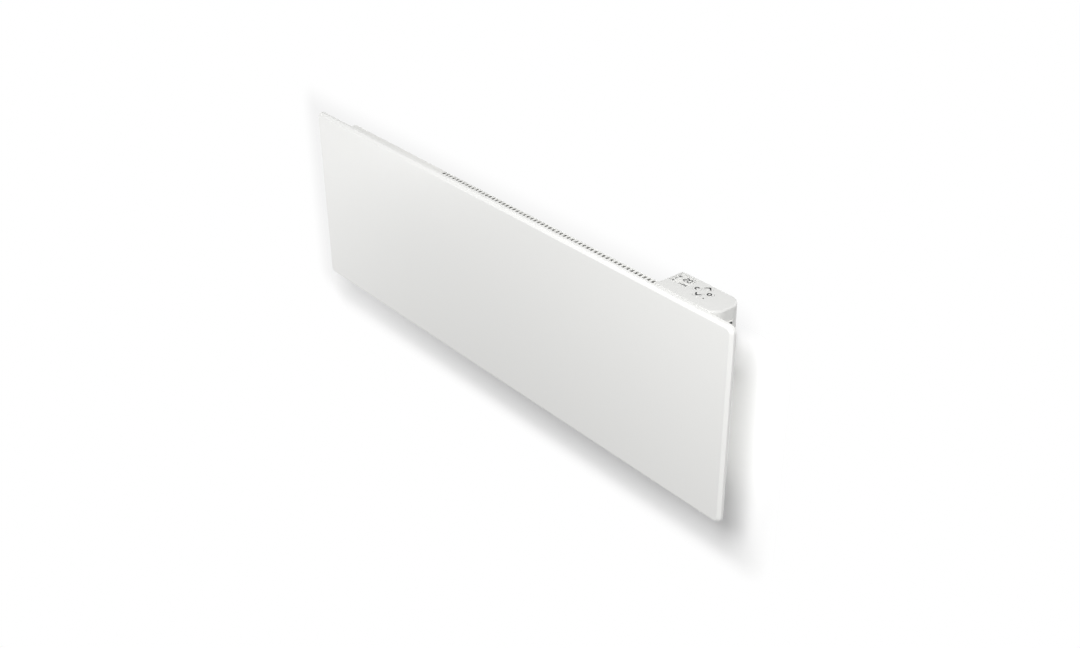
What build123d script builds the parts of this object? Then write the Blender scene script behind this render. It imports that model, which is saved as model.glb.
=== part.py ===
from build123d import *
from math import sqrt, tan, radians, atan2, degrees
import os

# A wall-hung panel convector heater, in millimetres.
# The origin is the centre of the four wall-screw holes, on the wall plane.
# +X is to the right seen from the room, +Y goes into the wall, +Z is up.

# ---------------------------------------------------------------- driving sizes
# Front panel
panel_w = 1036.0
panel_h = 330.0
panel_depth = 9.0
panel_sheet = 1.0
panel_corner_r = 12.0
panel_bevel = 4.3
overall_depth = 76.0

# Rear casing: a shallow tray with a notch at the top right for the control box
casing_left_in = 58.0
casing_right_in = 47.5
casing_drop = 20.8
casing_depth = 46.0
casing_sheet = 1.0
casing_fold_r = 2.5
flange_w = 12.0

# Air slots in the casing's top and bottom
slot_count = 60
slot_pitch = 8.9
slot_w = 5.0
slot_front_gap = 8.0
slot_back_gap = 3.0
slot_end_gap = 7.2

# Weld studs and nuts that hold the casing to the panel
stud_r = 2.0
stud_len = 7.0
nut_flat = 7.0
nut_h = 3.2
top_stud_count = 5
bottom_stud_count = 6
stud_end_gap = 24.0

# Heating element
fin_body_len = 470.0
fin_reach_y = 16.0
fin_reach_z = 20.0
fin_web = 2.0
fin_rib = 1.2
fin_rib_gap = 5.0
fin_hub_r = 7.0
sheath_r = 4.25
sheath_out = 24.0
element_front_gap = 22.0
element_rise = 49.0
insulator_r = 5.5
insulator_len = 9.0
insulator_round = 0.6
pin_r = 1.6
pin_len = 3.0
blade_w = 6.3
blade_t = 0.8
blade_len = 8.0

# Brackets and bushes that carry the element
carrier_sheet = 1.2
carrier_gap = 10.0
carrier_half_h = 22.0
carrier_front_gap = 8.0
carrier_foot = 18.0
carrier_screw_in = 10.0
carrier_screw_dz = 28.0
bush_wall = 2.65
bush_len = 8.0
bush_flange_r = 9.5
bush_flange_t = 1.5

# Heat shield between the element and the casing's back
shield_sheet = 0.8
shield_standoff = 4.2
shield_below = 33.0
shield_above = 36.0
shield_foot = 11.0
shield_end_gap = 5.0
shield_rivets_per_foot = 3
shield_rivet_end = 20.0

# Thermal cut-out above the element
cutout_x_offset = 60.0
cutout_above_shield = 1.5
cutout_cap_r = 8.0
cutout_cap_h = 4.0
cutout_body_h = 7.2
cutout_flange = (30.0, 17.0, 0.8)
cutout_rivet_dx = 24.0
cutout_blade_dx = 9.0
cutout_foot_h = 14.0
cutout_foot_rivet_dx = 20.0

# Rivets and screws
rivet_r = 1.6
rivet_head_r = 3.2
rivet_head_h = 0.9
rivet_tail_r = 2.3
rivet_tail_h = 1.6
screw_r = 2.0
screw_head_r = 3.8
screw_head_h = 2.2
screw_len = 7.0
box_screw_len = 9.0
cover_screw_r = 1.5
cover_screw_head_r = 2.8
cover_screw_head_h = 2.0
cover_screw_len = 16.0
board_screw_r = 1.1
board_screw_head_r = 2.1
board_screw_head_h = 1.4
board_screw_len = 7.0

# Control box: a lower and an upper plastic shell
box_w = 119.2
box_drop = 4.3
box_h = 112.0
box_setback = 15.6
box_wall_gap = 2.0
box_wall = 2.2
box_corner_r = 5.0
box_outer_r = 22.0
box_top_r = 3.5
cover_h = 20.0
seam_groove = 0.35
lip_h = 2.0
lip_t = 1.0
lip_root = 3.0
boss_r = 3.6
boss_in = 7.0
boss_front_in = 5.6
boss_back_in = 12.5
boss_outer_in = 10.2
side_screw_in = 14.0
floor_screw_left_in = 34.0
floor_screw_right_in = 44.7
screw_tip_gap = 3.0
counterbore_up = 8.0
fixing_boss_h = 7.0

# Display window and display
window_left_in = 4.0
window_back_in = 5.0
window_w = 34.0
window_d = 28.0
window_t = 1.0
window_ledge = 1.5
display_gap = 0.2

# Keys: four round caps in a diamond
key_centre_in = 63.3
key_back_in = 23.0
key_pitch = 11.8
key_r = 7.0
key_proud = 0.3
key_flange_r = 7.8
key_flange_t = 1.0
key_stem_r = 1.7
key_travel = 0.5
key_spare = 0.3

# Indicator
lamp_right_in = 42.4
lamp_front_in = 21.5
guide_r = 1.2
guide_flange_r = 2.2
guide_flange_t = 0.8
led_size = 3.0
led_h = 2.0

# Key board under the cover
key_board_drop = 8.5
key_board_t = 1.6
key_board_left_in = 3.5
key_board_right_in = 19.7
key_board_front_in = 10.9
key_board_back_in = 4.0
key_post_r = 2.6
key_post_in = 4.0
key_post_spare = 2.0
tact_size = 6.0
tact_h = 3.8
tact_well = 1.4
tact_well_r = 2.0

# Power board in the lower shell
board_post_h = 15.1
board_t = 1.6
board_left_in = 12.0
board_right_in = 18.7
board_front_in = 4.4
board_back_in = 4.0
board_post_in = 4.0
board_post_r = 2.6
relay_size = (15.0, 19.0, 15.5)
relay_left_in = 15.0
relay_front_in = 4.5
relay_pitch = 17.0
coil_core = (32.0, 20.0, 22.0)
coil_wind = (20.0, 24.0, 15.0)
coil_back_in = 13.5
film_cap_size = (18.0, 8.0, 14.0)
film_cap_left_in = 53.0
film_cap_front_in = 7.0
can_r = 5.0
can_h = 14.0
can_round = 0.8
can_left_in = 54.0
can_pitch = 13.0
can_back_in = 10.0
block_size = (11.0, 18.0, 16.4)
block_left_in = 1.5
link_w = 8.0
link_t = 0.8
link_plug = (10.0, 4.0, 6.5)
link_right_in = 7.0
link_back_in = 12.0

# Leads inside the casing
lead_r = 1.3
lead_pitch = 4.0
lead_height = 10.4
lead_back_gap = 10.0
lead_in_block = 4.0
lead_bend = 25.0
lead_tight_bend = 11.0
lead_turn_out = 28.6
earth_bend = 7.7
grommet_r = 7.3
grommet_bore_r = 5.6
grommet_flange_r = 8.8
grommet_flange_t = 1.6
receptacle = (8.0, 3.0, 9.0)
clip_size = 8.0
clip_wall = 1.5
clip_xs = (250.0, 100.0, -50.0, -170.0)
earth_x_in = 51.0
earth_below = 36.0
lug = (8.0, 0.8, 16.0)
lug_above = 11.2
lug_barrel = (4.0, 3.4, 6.0)

# Rocker switch in the box's right side
rocker_drop = 28.5
rocker_back_in = 27.6
bezel_w = 10.5
bezel_h = 15.0
bezel_t = 1.6
switch_w = 8.6
switch_h = 13.4
switch_depth = 12.0
rocker_w = 6.6
rocker_reach = 5.6
rocker_half_angle = 8.0
rocker_face = 1.3
rocker_hub_r = 2.6
rocker_pin_r = 0.9
rocker_pin_len = 0.6
rocker_cavity = 7.0
rocker_pivot_out = 0.2
switch_blade = (4.8, 0.8, 7.0)
switch_blade_dz = 7.0
switch_lead_r = 1.0
switch_lead_bend = 2.5
switch_lead_out = 9.0
switch_lead_step = 3.0

# Cable gland and room sensor in the box's floor
gland_x_in = 34.0
gland_back_in = 13.5
gland_thread_r = 8.0
gland_bore_r = 4.0
gland_hex = 19.0
gland_body_h = 9.0
gland_dome_h = 12.0
gland_dome_r = 8.6
gland_nut_h = 5.0
gland_thread_up = 9.0
sensor_x_in = 86.5
sensor_back_in = 14.0
sensor_r = 4.0
sensor_flange_r = 6.0
sensor_flange_t = 1.2
sensor_down = 9.0
sensor_bead_r = 1.6
sensor_bore_r = 2.6
sensor_vent_r = 1.2
sensor_plug_h = 3.0
sensor_leg_r = 1.0
sensor_leg_up = 4.0

# Wall bracket: two hat-section legs and a rail
leg_in = 245.5
wall_hole_in = 59.2
wall_hole_r = 2.75
leg_sheet = 1.5
leg_web_w = 34.0
leg_foot_w = 16.0
leg_end_margin = 25.0
leg_top_margin = 10.0
leg_tab_h = 29.0
rail_h = 30.0
rail_lip = 8.0
rail_z = 55.0
rail_lap = 14.0
hook_z = 50.0
hook_w = 14.0
hook_t = 2.0
hook_lip_t = 1.5
hook_lip_h = 9.0
hook_slot_side = 2.0
hook_slot_spare = 2.0
pad_t = 1.0
pad_size = 20.0
pad_z = -90.0

# Turn latches at the top of the legs
latch_above = 17.0
latch_shaft_r = 3.0
latch_head_len = 22.0
latch_head_w = 6.0
latch_head_t = 2.2
latch_square = 4.2
lever_len = 24.0
lever_w = 10.0
lever_t = 3.2
latch_slot_w = 8.0

# Clearances
running_gap = 0.08
sliding_gap = 0.3
fit_gap = 0.1
hole_gap = 0.15
axial_gap = 0.4

# ---------------------------------------------------------------- derived places
face_y = -overall_depth
panel_inner_y = face_y + panel_sheet
panel_edge_y = face_y + panel_depth
casing_back_y = panel_inner_y + casing_depth
casing_inner_y = casing_back_y - casing_sheet
panel_top = panel_h / 2
casing_top = panel_top - casing_drop
casing_right = panel_w / 2 - casing_right_in
casing_left = casing_left_in - panel_w / 2
box_right = casing_right
box_left = box_right - box_w
box_top = panel_top - box_drop
box_bottom = box_top - box_h
box_front = face_y + box_setback
box_back = -box_wall_gap
box_floor = box_bottom + box_wall
box_ceiling = box_top - box_wall
seam_z = box_top - cover_h

slot_last_x = box_left - slot_end_gap
slot_span = (slot_count - 1) * slot_pitch
slot_y = (panel_inner_y + slot_front_gap, casing_back_y - slot_back_gap)

element_x = slot_last_x - slot_span / 2
element_y = panel_inner_y + element_front_gap
element_z = -casing_top + element_rise
carrier_off = fin_body_len / 2 + carrier_gap
shield_face_y = casing_inner_y - shield_standoff
shield_top = element_z + shield_above + shield_foot
cutout_x = element_x + cutout_x_offset
cutout_z = shield_top + cutout_above_shield + carrier_sheet

key_board_top = box_ceiling - key_board_drop
key_x = box_left + key_centre_in
key_y = box_back - key_back_in
tact_top = key_board_top + tact_h
board_z = box_floor + board_post_h
board_top = board_z + board_t

lead_y = casing_inner_y - lead_back_gap
lead_z = board_top + lead_height
cutout_y = lead_y - lead_pitch
block_x = box_left + board_left_in + block_left_in

rocker_x = box_right + rocker_pivot_out
rocker_y = box_back - rocker_back_in
rocker_z = box_top - rocker_drop

web_y = casing_back_y + pad_t
leg_x = casing_right - leg_in
wall_hole_dx = 2 * leg_x + leg_web_w + leg_foot_w
wall_hole_dz = 2 * (casing_top - wall_hole_in)
leg_bottom = -wall_hole_dz / 2 - leg_end_margin
leg_top = wall_hole_dz / 2 + leg_top_margin
latch_z = leg_top + latch_above

RIGHT = (1, 0, 0)
LEFT = (-1, 0, 0)
BACK = (0, 1, 0)
FRONT = (0, -1, 0)
UP = (0, 0, 1)
DOWN = (0, 0, -1)


# ---------------------------------------------------------------- shape helpers
def block(x, y, z):
    """A box that spans the three pairs of coordinates."""
    pairs = (x, y, z)
    centre = [(a + b) / 2 for a, b in pairs]
    size = [abs(b - a) for a, b in pairs]
    return Pos(*centre) * Box(*size)


def centred(centre, size):
    """A box of a size about its centre."""
    return Pos(*centre) * Box(*size)


def rod(start, direction, radius, length):
    """A round bar from a point along a direction."""
    place = Plane(origin=start, z_dir=direction)
    return place * Cylinder(radius, length, align=(Align.CENTER, Align.CENTER, Align.MIN))


def slab(points, y0, y1):
    """An outline of (x, z) points with its thickness between two values of y."""
    place = Plane(origin=(0, y1, 0), x_dir=RIGHT, z_dir=FRONT)
    return extrude(place * Polygon(*points, align=None), amount=y1 - y0)


def bar_along_x(points, x0, x1):
    """An outline of (y, z) points carried from x0 to x1."""
    place = Plane(origin=(x0, 0, 0), x_dir=BACK, z_dir=RIGHT)
    return extrude(place * Polygon(*points, align=None), amount=x1 - x0)


def column(points, z0, z1):
    """An outline of (x, y) points carried from z0 to z1."""
    return extrude(Pos(0, 0, z0) * Polygon(*points, align=None), amount=z1 - z0)


def hex_prism(start, direction, flats, height):
    """A hexagonal prism, sized across its flats."""
    place = Plane(origin=start, z_dir=direction)
    return extrude(place * RegularPolygon(flats / sqrt(3), 6), amount=height)


def screw(seat, direction, radius, head_r, head_h, length):
    """A pan-head screw: the head stands on the seat, the shank goes along direction."""
    away = tuple(-c for c in direction)
    head = rod(seat, away, head_r, head_h)
    rim = head.faces().sort_by(Axis(seat, away))[-1].edges()
    return fillet(rim, head_h * 0.4) + rod(seat, direction, radius, length)


def rivet(seat, direction, grip):
    """A blind rivet: its head on the seat, its tail past the grip."""
    away = tuple(-c for c in direction)
    tail = [s + c * grip for s, c in zip(seat, direction)]
    parts = rod(seat, away, rivet_head_r, rivet_head_h) + rod(seat, direction, rivet_r, grip)
    return parts + rod(tail, direction, rivet_tail_r, rivet_tail_h)


def lead(points, radii, radius):
    """An insulated lead along straight runs joined by tangent arcs."""
    path = FilletPolyline(*points, radius=radii)
    return sweep(Plane(origin=path @ 0, z_dir=path % 0) * Circle(radius), path=path)


def spread(low, high, count):
    """Evenly spaced values from low to high."""
    return [low + (high - low) * i / (count - 1) for i in range(count)]


def save(node, *shapes):
    """Write one node's solids to parts/NODE.step."""
    solids = [s for shape in shapes for s in shape.solids()]
    export_step(solids[0] if len(solids) == 1 else Compound(solids), f"parts/{node}.step")


# ---------------------------------------------------------------- front panel
def pan(width, height, corner, front, back, bevel):
    """A rounded plate with its front edge bevelled."""
    place = Plane(origin=(0, back, 0), x_dir=RIGHT, z_dir=FRONT)
    body = extrude(place * RectangleRounded(width, height, corner), amount=back - front)
    return chamfer(body.faces().sort_by(Axis.Y)[0].edges(), bevel)


def front_panel():
    """One steel sheet: flat face, 45 degree bevel all round and a straight return."""
    t = panel_sheet
    outer = pan(panel_w, panel_h, panel_corner_r, face_y, panel_edge_y, panel_bevel)
    inner_bevel = panel_bevel - t * (2 - sqrt(2))
    inner = pan(panel_w - 2 * t, panel_h - 2 * t, panel_corner_r - t,
                panel_inner_y, panel_edge_y, inner_bevel)
    return outer - inner


def casing_outline(grow):
    """The tray's outline seen from the front, moved outwards by grow."""
    left, right = casing_left - grow, casing_right + grow
    low, high = -casing_top - grow, casing_top + grow
    step_x, step_z = box_left + grow, box_bottom + grow
    return [(left, low), (right, low), (right, step_z), (step_x, step_z), (step_x, high), (left, high)]


def stud_spots():
    """Where the studs stand, on the middle of the casing's flange."""
    mid = flange_w / 2
    top = [(x, casing_top + mid)
           for x in spread(casing_left + stud_end_gap, box_left - stud_end_gap, top_stud_count)]
    bottom = [(x, -casing_top - mid)
              for x in spread(casing_left + stud_end_gap, casing_right - stud_end_gap, bottom_stud_count)]
    left = [(casing_left - mid, z) for z in (-casing_top / 2, casing_top / 2)]
    right = [(casing_right + mid, -casing_top / 2)]
    return top + bottom + left + right


# ---------------------------------------------------------------- rear casing
def tray(grow, y0, y1, fold):
    """The tray's outline as a block whose back edges are rounded."""
    body = slab(casing_outline(grow), y0, y1)
    return fillet(body.faces().sort_by(Axis.Y)[-1].edges(), fold)


def slot_xs():
    return [slot_last_x - i * slot_pitch for i in range(slot_count)]


def air_slot(x):
    """A slot with round ends that goes through the casing's top and bottom."""
    middle = sum(slot_y) / 2
    outline = SlotOverall(slot_y[1] - slot_y[0], slot_w, rotation=90)
    return Pos(x, middle, 0) * extrude(outline, amount=casing_top + casing_sheet, both=True)


def carrier_screw_spots():
    """(x, z) of the screws in the feet of the two element brackets."""
    dx = carrier_off + carrier_screw_in
    dz = carrier_screw_dz / 2
    return [(element_x + sx * dx, element_z + sz * dz) for sx in (-1, 1) for sz in (-1, 1)]


def shield_ends():
    reach = carrier_off - carrier_sheet / 2 - shield_end_gap
    return element_x - reach, element_x + reach


def shield_rivet_spots():
    low, high = shield_ends()
    xs = spread(low + shield_rivet_end, high - shield_rivet_end, shield_rivets_per_foot)
    foot_low = element_z - shield_below - shield_foot / 2
    foot_high = element_z + shield_above + shield_foot / 2
    return [(x, z) for x in xs for z in (foot_low, foot_high)]


def cutout_rivet_spots():
    dx = cutout_foot_rivet_dx / 2
    return [(cutout_x + s * dx, cutout_z + cutout_foot_h / 2) for s in (-1, 1)]


def earth_spot():
    return box_left - earth_x_in, box_bottom - earth_below


def box_side_screws():
    """(y, z) of the screws through the notch's upright wall."""
    y = box_front + side_screw_in
    return [(y, box_floor + fixing_boss_h + boss_r), (y, seam_z - lip_h - 2 * boss_r)]


def box_floor_screws():
    """(x, y) of the screws through the notch's level wall."""
    y = box_front + side_screw_in
    return [(box_left + floor_screw_left_in, y), (box_right - floor_screw_right_in, y)]


def rear_casing():
    """The folded tray, its flange, its air slots and every hole in it."""
    t = casing_sheet
    body = tray(0, panel_inner_y, casing_back_y, casing_fold_r)
    body += slab(casing_outline(flange_w), panel_inner_y, panel_inner_y + t)
    body -= tray(-t, panel_inner_y, casing_inner_y, casing_fold_r - t)
    through = 3 * t
    cuts = [air_slot(x) for x in slot_xs()]
    for x, z in stud_spots():
        cuts.append(rod((x, panel_inner_y - t, z), BACK, stud_r + hole_gap, through))
    for x, z in carrier_screw_spots() + [earth_spot()]:
        cuts.append(rod((x, casing_back_y + t, z), FRONT, screw_r + hole_gap, through))
    for x, z in shield_rivet_spots() + cutout_rivet_spots():
        cuts.append(rod((x, casing_back_y + t, z), FRONT, rivet_r + hole_gap, through))
    for y, z in box_side_screws():
        cuts.append(rod((box_left + t, y, z), LEFT, screw_r + hole_gap, through))
    for x, y in box_floor_screws():
        cuts.append(rod((x, y, box_bottom + t), DOWN, screw_r + hole_gap, through))
    cuts.append(rod((box_left + t, lead_y, lead_z), LEFT, grommet_r + hole_gap, through))
    for side in (-1, 1):
        x = side * leg_x
        half = hook_w / 2 + hook_slot_side
        low = hook_z - hook_t - hook_lip_h - hook_slot_spare
        cuts.append(block((x - half, x + half), (casing_inner_y - t, casing_back_y + t), (low, hook_z)))
        low = latch_z - latch_head_len / 2 - hook_lip_h - hook_slot_spare
        high = latch_z + latch_shaft_r + sliding_gap
        half = latch_slot_w / 2
        cuts.append(block((x - half, x + half), (casing_inner_y - t, casing_back_y + t), (low, high)))
    return body - cuts


# ---------------------------------------------------------------- heating element
def fin_body():
    """An extruded aluminium body: a hub, four diagonal arms and level ribs across them."""
    lean = degrees(atan2(fin_reach_z, fin_reach_y))
    arm = 2 * sqrt(fin_reach_y ** 2 + fin_reach_z ** 2)
    shape = Circle(fin_hub_r)
    for turn in (lean, -lean):
        shape += Rot(0, 0, turn) * Rectangle(arm, fin_web)
    ribs = int((fin_reach_z - fin_rib) / fin_rib_gap)
    for i in range(1, ribs + 1):
        z = i * fin_rib_gap + fin_rib
        width = 2 * z * fin_reach_y / fin_reach_z + fin_rib_gap
        for side in (-1, 1):
            shape += Pos(0, side * z) * Rectangle(width, fin_rib)
    shape = shape & Rectangle(2 * fin_reach_y, 2 * fin_reach_z)
    shape -= Circle(sheath_r + fit_gap)
    place = Plane(origin=(element_x - fin_body_len / 2, element_y, element_z), x_dir=BACK, z_dir=RIGHT)
    return extrude(place * shape, amount=fin_body_len)


def end_spots():
    """For each end of the element: its side (-1 or 1), and the direction outwards."""
    return [(-1, LEFT), (1, RIGHT)]


def sheath_end(side):
    return element_x + side * (fin_body_len / 2 + sheath_out)


def sheath():
    start = (sheath_end(-1), element_y, element_z)
    return rod(start, RIGHT, sheath_r, fin_body_len + 2 * sheath_out)


def insulators():
    """Ceramic end caps that the terminal pins stand in."""
    caps = []
    for side, out in end_spots():
        start = (sheath_end(side), element_y, element_z)
        cap = rod(start, out, insulator_r, insulator_len)
        caps.append(fillet(cap.edges().filter_by(GeomType.CIRCLE), insulator_round))
    return caps


def blade_start(side):
    return sheath_end(side) + side * (insulator_len + pin_len)


def element_terminals():
    """A pin and a flat blade at each end."""
    parts = []
    for side, out in end_spots():
        root = (sheath_end(side) + side * insulator_len, element_y, element_z)
        x = blade_start(side)
        blade = centred((x + side * blade_len / 2, element_y, element_z), (blade_len, blade_t, blade_w))
        parts.append(rod(root, out, pin_r, pin_len) + blade)
    return parts


def carrier(side):
    """A folded bracket: an upright web round the bush, and a foot on the casing's back."""
    x = element_x + side * carrier_off
    t = carrier_sheet
    z = (element_z - carrier_half_h, element_z + carrier_half_h)
    web = block((x - t / 2, x + t / 2), (panel_inner_y + carrier_front_gap, casing_inner_y), z)
    foot = block((x - side * t / 2, x + side * carrier_foot), (casing_inner_y - t, casing_inner_y), z)
    body = web + foot
    body -= rod((x - t, element_y, element_z), RIGHT, bush_outer_r() + fit_gap, 2 * t)
    for sx, sz in carrier_screw_spots():
        if (sx - element_x) * side > 0:
            body -= rod((sx, casing_back_y, sz), FRONT, screw_r + hole_gap, 4 * t)
    return body


def bush_outer_r():
    return sheath_r + fit_gap + bush_wall


def bushes():
    """Silicone sleeves with a flange on the inner side of each web."""
    parts = []
    for side, out in end_spots():
        x = element_x + side * carrier_off
        inner_face = x - side * carrier_sheet / 2
        start = (x - side * bush_len / 2, element_y, element_z)
        flange = (inner_face - side * bush_flange_t, element_y, element_z)
        body = rod(start, out, bush_outer_r(), bush_len) + rod(flange, out, bush_flange_r, bush_flange_t)
        parts.append(body - rod(start, out, sheath_r + fit_gap, bush_len))
    return parts


def heat_shield():
    """A hat-section sheet that stands off the casing's back."""
    t = shield_sheet
    back, face = casing_inner_y, shield_face_y
    low, high = element_z - shield_below, element_z + shield_above
    outline = [(back, low - shield_foot), (back, low), (face + t, low), (face + t, high),
               (back, high), (back, high + shield_foot), (back - t, high + shield_foot),
               (back - t, high + t), (face, high + t), (face, low - t), (back - t, low - t),
               (back - t, low - shield_foot)]
    body = bar_along_x(outline, *shield_ends())
    holes = [rod((x, casing_back_y, z), FRONT, rivet_r + hole_gap, 3 * casing_sheet)
             for x, z in shield_rivet_spots()]
    return body - holes


def cutout_bracket():
    """A folded bracket: a foot on the casing's back and a level arm over the element."""
    t = carrier_sheet
    half = cutout_flange[0] / 2
    x = (cutout_x - half, cutout_x + half)
    foot = block(x, (casing_inner_y - t, casing_inner_y), (cutout_z - t, cutout_z + cutout_foot_h))
    front = cutout_y - cutout_flange[1] / 2 - 1
    arm = block(x, (front, casing_inner_y), (cutout_z - t, cutout_z))
    body = foot + arm - rod((cutout_x, cutout_y, cutout_z + t), DOWN, cutout_cap_r + sliding_gap, 3 * t)
    for side in (-1, 1):
        spot = (cutout_x + side * cutout_rivet_dx / 2, cutout_y, cutout_z + t)
        body -= rod(spot, DOWN, rivet_r + hole_gap, 3 * t)
    for sx, sz in cutout_rivet_spots():
        body -= rod((sx, casing_back_y, sz), FRONT, rivet_r + hole_gap, 4 * t)
    return body


def cutout_top():
    return cutout_z + cutout_flange[2] + cutout_body_h


def thermal_cutout():
    """A bimetal switch: cap below, flange on the arm, body and two blades above."""
    length, width, thick = cutout_flange
    flange = centred((cutout_x, cutout_y, cutout_z + thick / 2), (length, width, thick))
    for side in (-1, 1):
        spot = (cutout_x + side * cutout_rivet_dx / 2, cutout_y, cutout_z - thick)
        flange -= rod(spot, UP, rivet_r + hole_gap, 3 * thick)
    drop = carrier_sheet + cutout_cap_h
    cap = rod((cutout_x, cutout_y, cutout_z - drop), UP, cutout_cap_r, drop + thick)
    case = rod((cutout_x, cutout_y, cutout_z + thick), UP, cutout_cap_r, cutout_body_h)
    body = flange + cap + case
    for side in (-1, 1):
        x = cutout_x + side * cutout_blade_dx / 2
        body += centred((x, cutout_y, cutout_top() + blade_len / 2), (blade_t, blade_w, blade_len))
    return body


def cutout_rivets():
    grip = cutout_flange[2] + carrier_sheet
    seat = cutout_z + cutout_flange[2]
    return [rivet((cutout_x + s * cutout_rivet_dx / 2, cutout_y, seat), DOWN, grip) for s in (-1, 1)]


def casing_rivets():
    """Rivets from outside through the casing and the feet of the shield and the cut-out's bracket."""
    thin = [rivet((x, casing_back_y, z), FRONT, casing_sheet + shield_sheet)
            for x, z in shield_rivet_spots()]
    thick = [rivet((x, casing_back_y, z), FRONT, casing_sheet + carrier_sheet)
             for x, z in cutout_rivet_spots()]
    return thin + thick


# ---------------------------------------------------------------- leads
def receptacle_on_x(side):
    """A push-on receptacle on an element blade."""
    long, thick, wide = receptacle[2], receptacle[1], receptacle[0]
    x = blade_start(side) + side * (long / 2 + fit_gap)
    body = centred((x, element_y, element_z), (long, thick, wide))
    slot = (long, blade_t + 2 * fit_gap, blade_w + 2 * fit_gap)
    return body - centred((x - side, element_y, element_z), slot)


def receptacle_on_z(side):
    """A push-on receptacle on a blade of the thermal cut-out."""
    long, thick, wide = receptacle[2], receptacle[1], receptacle[0]
    x = cutout_x + side * cutout_blade_dx / 2
    z = cutout_top() + long / 2 + fit_gap
    body = centred((x, cutout_y, z), (thick, wide, long))
    slot = (blade_t + 2 * fit_gap, blade_w + 2 * fit_gap, long)
    return body - centred((x, cutout_y, z - 1), slot)


def receptacle_end_x(side):
    return blade_start(side) + side * (receptacle[2] + fit_gap)


def receptacle_end_z():
    return cutout_top() + receptacle[2] + fit_gap


def lug_top():
    return earth_spot()[1] + lug_above


def earth_lug():
    """A flat ring lug on the casing's back with a square barrel above it."""
    x, z = earth_spot()
    wide, thick, tall = lug
    plate = block((x - wide / 2, x + wide / 2), (casing_inner_y - thick, casing_inner_y),
                  (lug_top() - tall, lug_top()))
    barrel_w, barrel_d, barrel_h = lug_barrel
    plate += block((x - barrel_w / 2, x + barrel_w / 2), (casing_inner_y - barrel_d, casing_inner_y),
                   (lug_top(), lug_top() + barrel_h))
    return plate - rod((x, casing_back_y, z), FRONT, screw_r + hole_gap, 4 * casing_sheet)


def earth_screw():
    x, z = earth_spot()
    return screw((x, casing_inner_y - lug[1], z), BACK, screw_r, screw_head_r, screw_head_h, screw_len)


def lead_start(step):
    """Where a lead sits in the terminal block; step is -1, 0 or 1 from front to back."""
    return block_x + lead_in_block, lead_y + step * lead_pitch, lead_z


def lead_live():
    start = lead_start(-1)
    x = cutout_x - cutout_blade_dx / 2
    points = [start, (x, cutout_y, lead_z), (x, cutout_y, receptacle_end_z())]
    return lead(points, lead_bend, lead_r)


def lead_link():
    """From the cut-out to the element's right end."""
    x = cutout_x + cutout_blade_dx / 2
    end = receptacle_end_x(1)
    turn = end + lead_turn_out
    level = receptacle_end_z() + lead_bend
    points = [(x, cutout_y, receptacle_end_z()), (x, cutout_y, level), (turn, cutout_y, level),
              (turn, element_y, element_z), (end, element_y, element_z)]
    return lead(points, lead_tight_bend, lead_r)


def lead_neutral():
    """Along the casing's back to the element's left end."""
    start = lead_start(1)
    end = receptacle_end_x(-1)
    turn = end - lead_turn_out
    points = [start, (turn, start[1], lead_z), (turn, element_y, element_z), (end, element_y, element_z)]
    return lead(points, lead_tight_bend, lead_r)


def lead_earth():
    start = lead_start(0)
    x = earth_spot()[0]
    y = casing_inner_y - lug_barrel[1] / 2
    end = lug_top() + lug_barrel[2]
    middle = end + (lead_z - end) / 2
    points = [start, (x, start[1], lead_z), (x, y, middle), (x, y, end)]
    return lead(points, earth_bend, lead_r)


def lead_grommet():
    """A silicone grommet that joins the casing's notch wall and the box's wall."""
    wall = casing_sheet + box_wall
    start = box_left - casing_sheet
    body = rod((start, lead_y, lead_z), RIGHT, grommet_r, wall)
    body += rod((start, lead_y, lead_z), LEFT, grommet_flange_r, grommet_flange_t)
    body += rod((start + wall, lead_y, lead_z), RIGHT, grommet_flange_r, grommet_flange_t)
    bore = wall + 2 * grommet_flange_t
    return body - rod((start - grommet_flange_t, lead_y, lead_z), RIGHT, grommet_bore_r, bore)


def wire_clips():
    """Saddles that hold the long lead to the casing's back."""
    y = lead_y + lead_pitch
    depth = casing_inner_y - y + lead_r + clip_wall
    parts = []
    for x in clip_xs:
        body = block((x - clip_size / 2, x + clip_size / 2), (casing_inner_y - depth, casing_inner_y),
                     (lead_z - clip_size / 2, lead_z + clip_size / 2))
        parts.append(body - rod((x - clip_size, y, lead_z), RIGHT, lead_r + hole_gap, 2 * clip_size))
    return parts


# ---------------------------------------------------------------- control box
def box_block(inset, z0, z1):
    """The control box's plan, moved inwards: small radii beside the casing, large ones at its outer end."""
    body = block((box_left + inset, box_right - inset), (box_front + inset, box_back - inset), (z0, z1))
    upright = body.edges().filter_by(Axis.Z).sort_by(Axis.X)
    body = fillet(upright[-2:], box_outer_r - inset)
    upright = body.edges().filter_by(Axis.Z).sort_by(Axis.X)
    return fillet(upright[:2], max(box_corner_r - inset, 0.4))


def boss_spots():
    """(x, y) of the three long bosses that join the two shells."""
    return [(box_left + boss_in, box_front + boss_front_in),
            (box_right - boss_outer_in, box_front + boss_outer_in),
            (box_right - boss_in - 1, box_back - boss_back_in)]


def key_post_spots():
    """(x, y) of the four posts that hold the key board."""
    left, right, front, back = key_board_edges()
    inset = key_post_in
    middle = box_left + window_left_in + window_w + key_post_in + key_post_spare
    return [(left + inset, front + inset), (right - 2 * inset, front + inset),
            (right - 2 * inset, back - inset), (middle, back - key_post_r)]


def key_board_edges():
    return (box_left + key_board_left_in, box_right - key_board_right_in,
            box_front + key_board_front_in, box_back - key_board_back_in)


def key_spots():
    """Each key's name with its centre, in a diamond."""
    return {"key_up": (key_x, key_y + key_pitch), "key_down": (key_x, key_y - key_pitch),
            "key_power": (key_x - key_pitch, key_y), "key_mode": (key_x + key_pitch, key_y)}


def lamp_spot():
    return box_right - lamp_right_in, box_front + lamp_front_in


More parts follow.
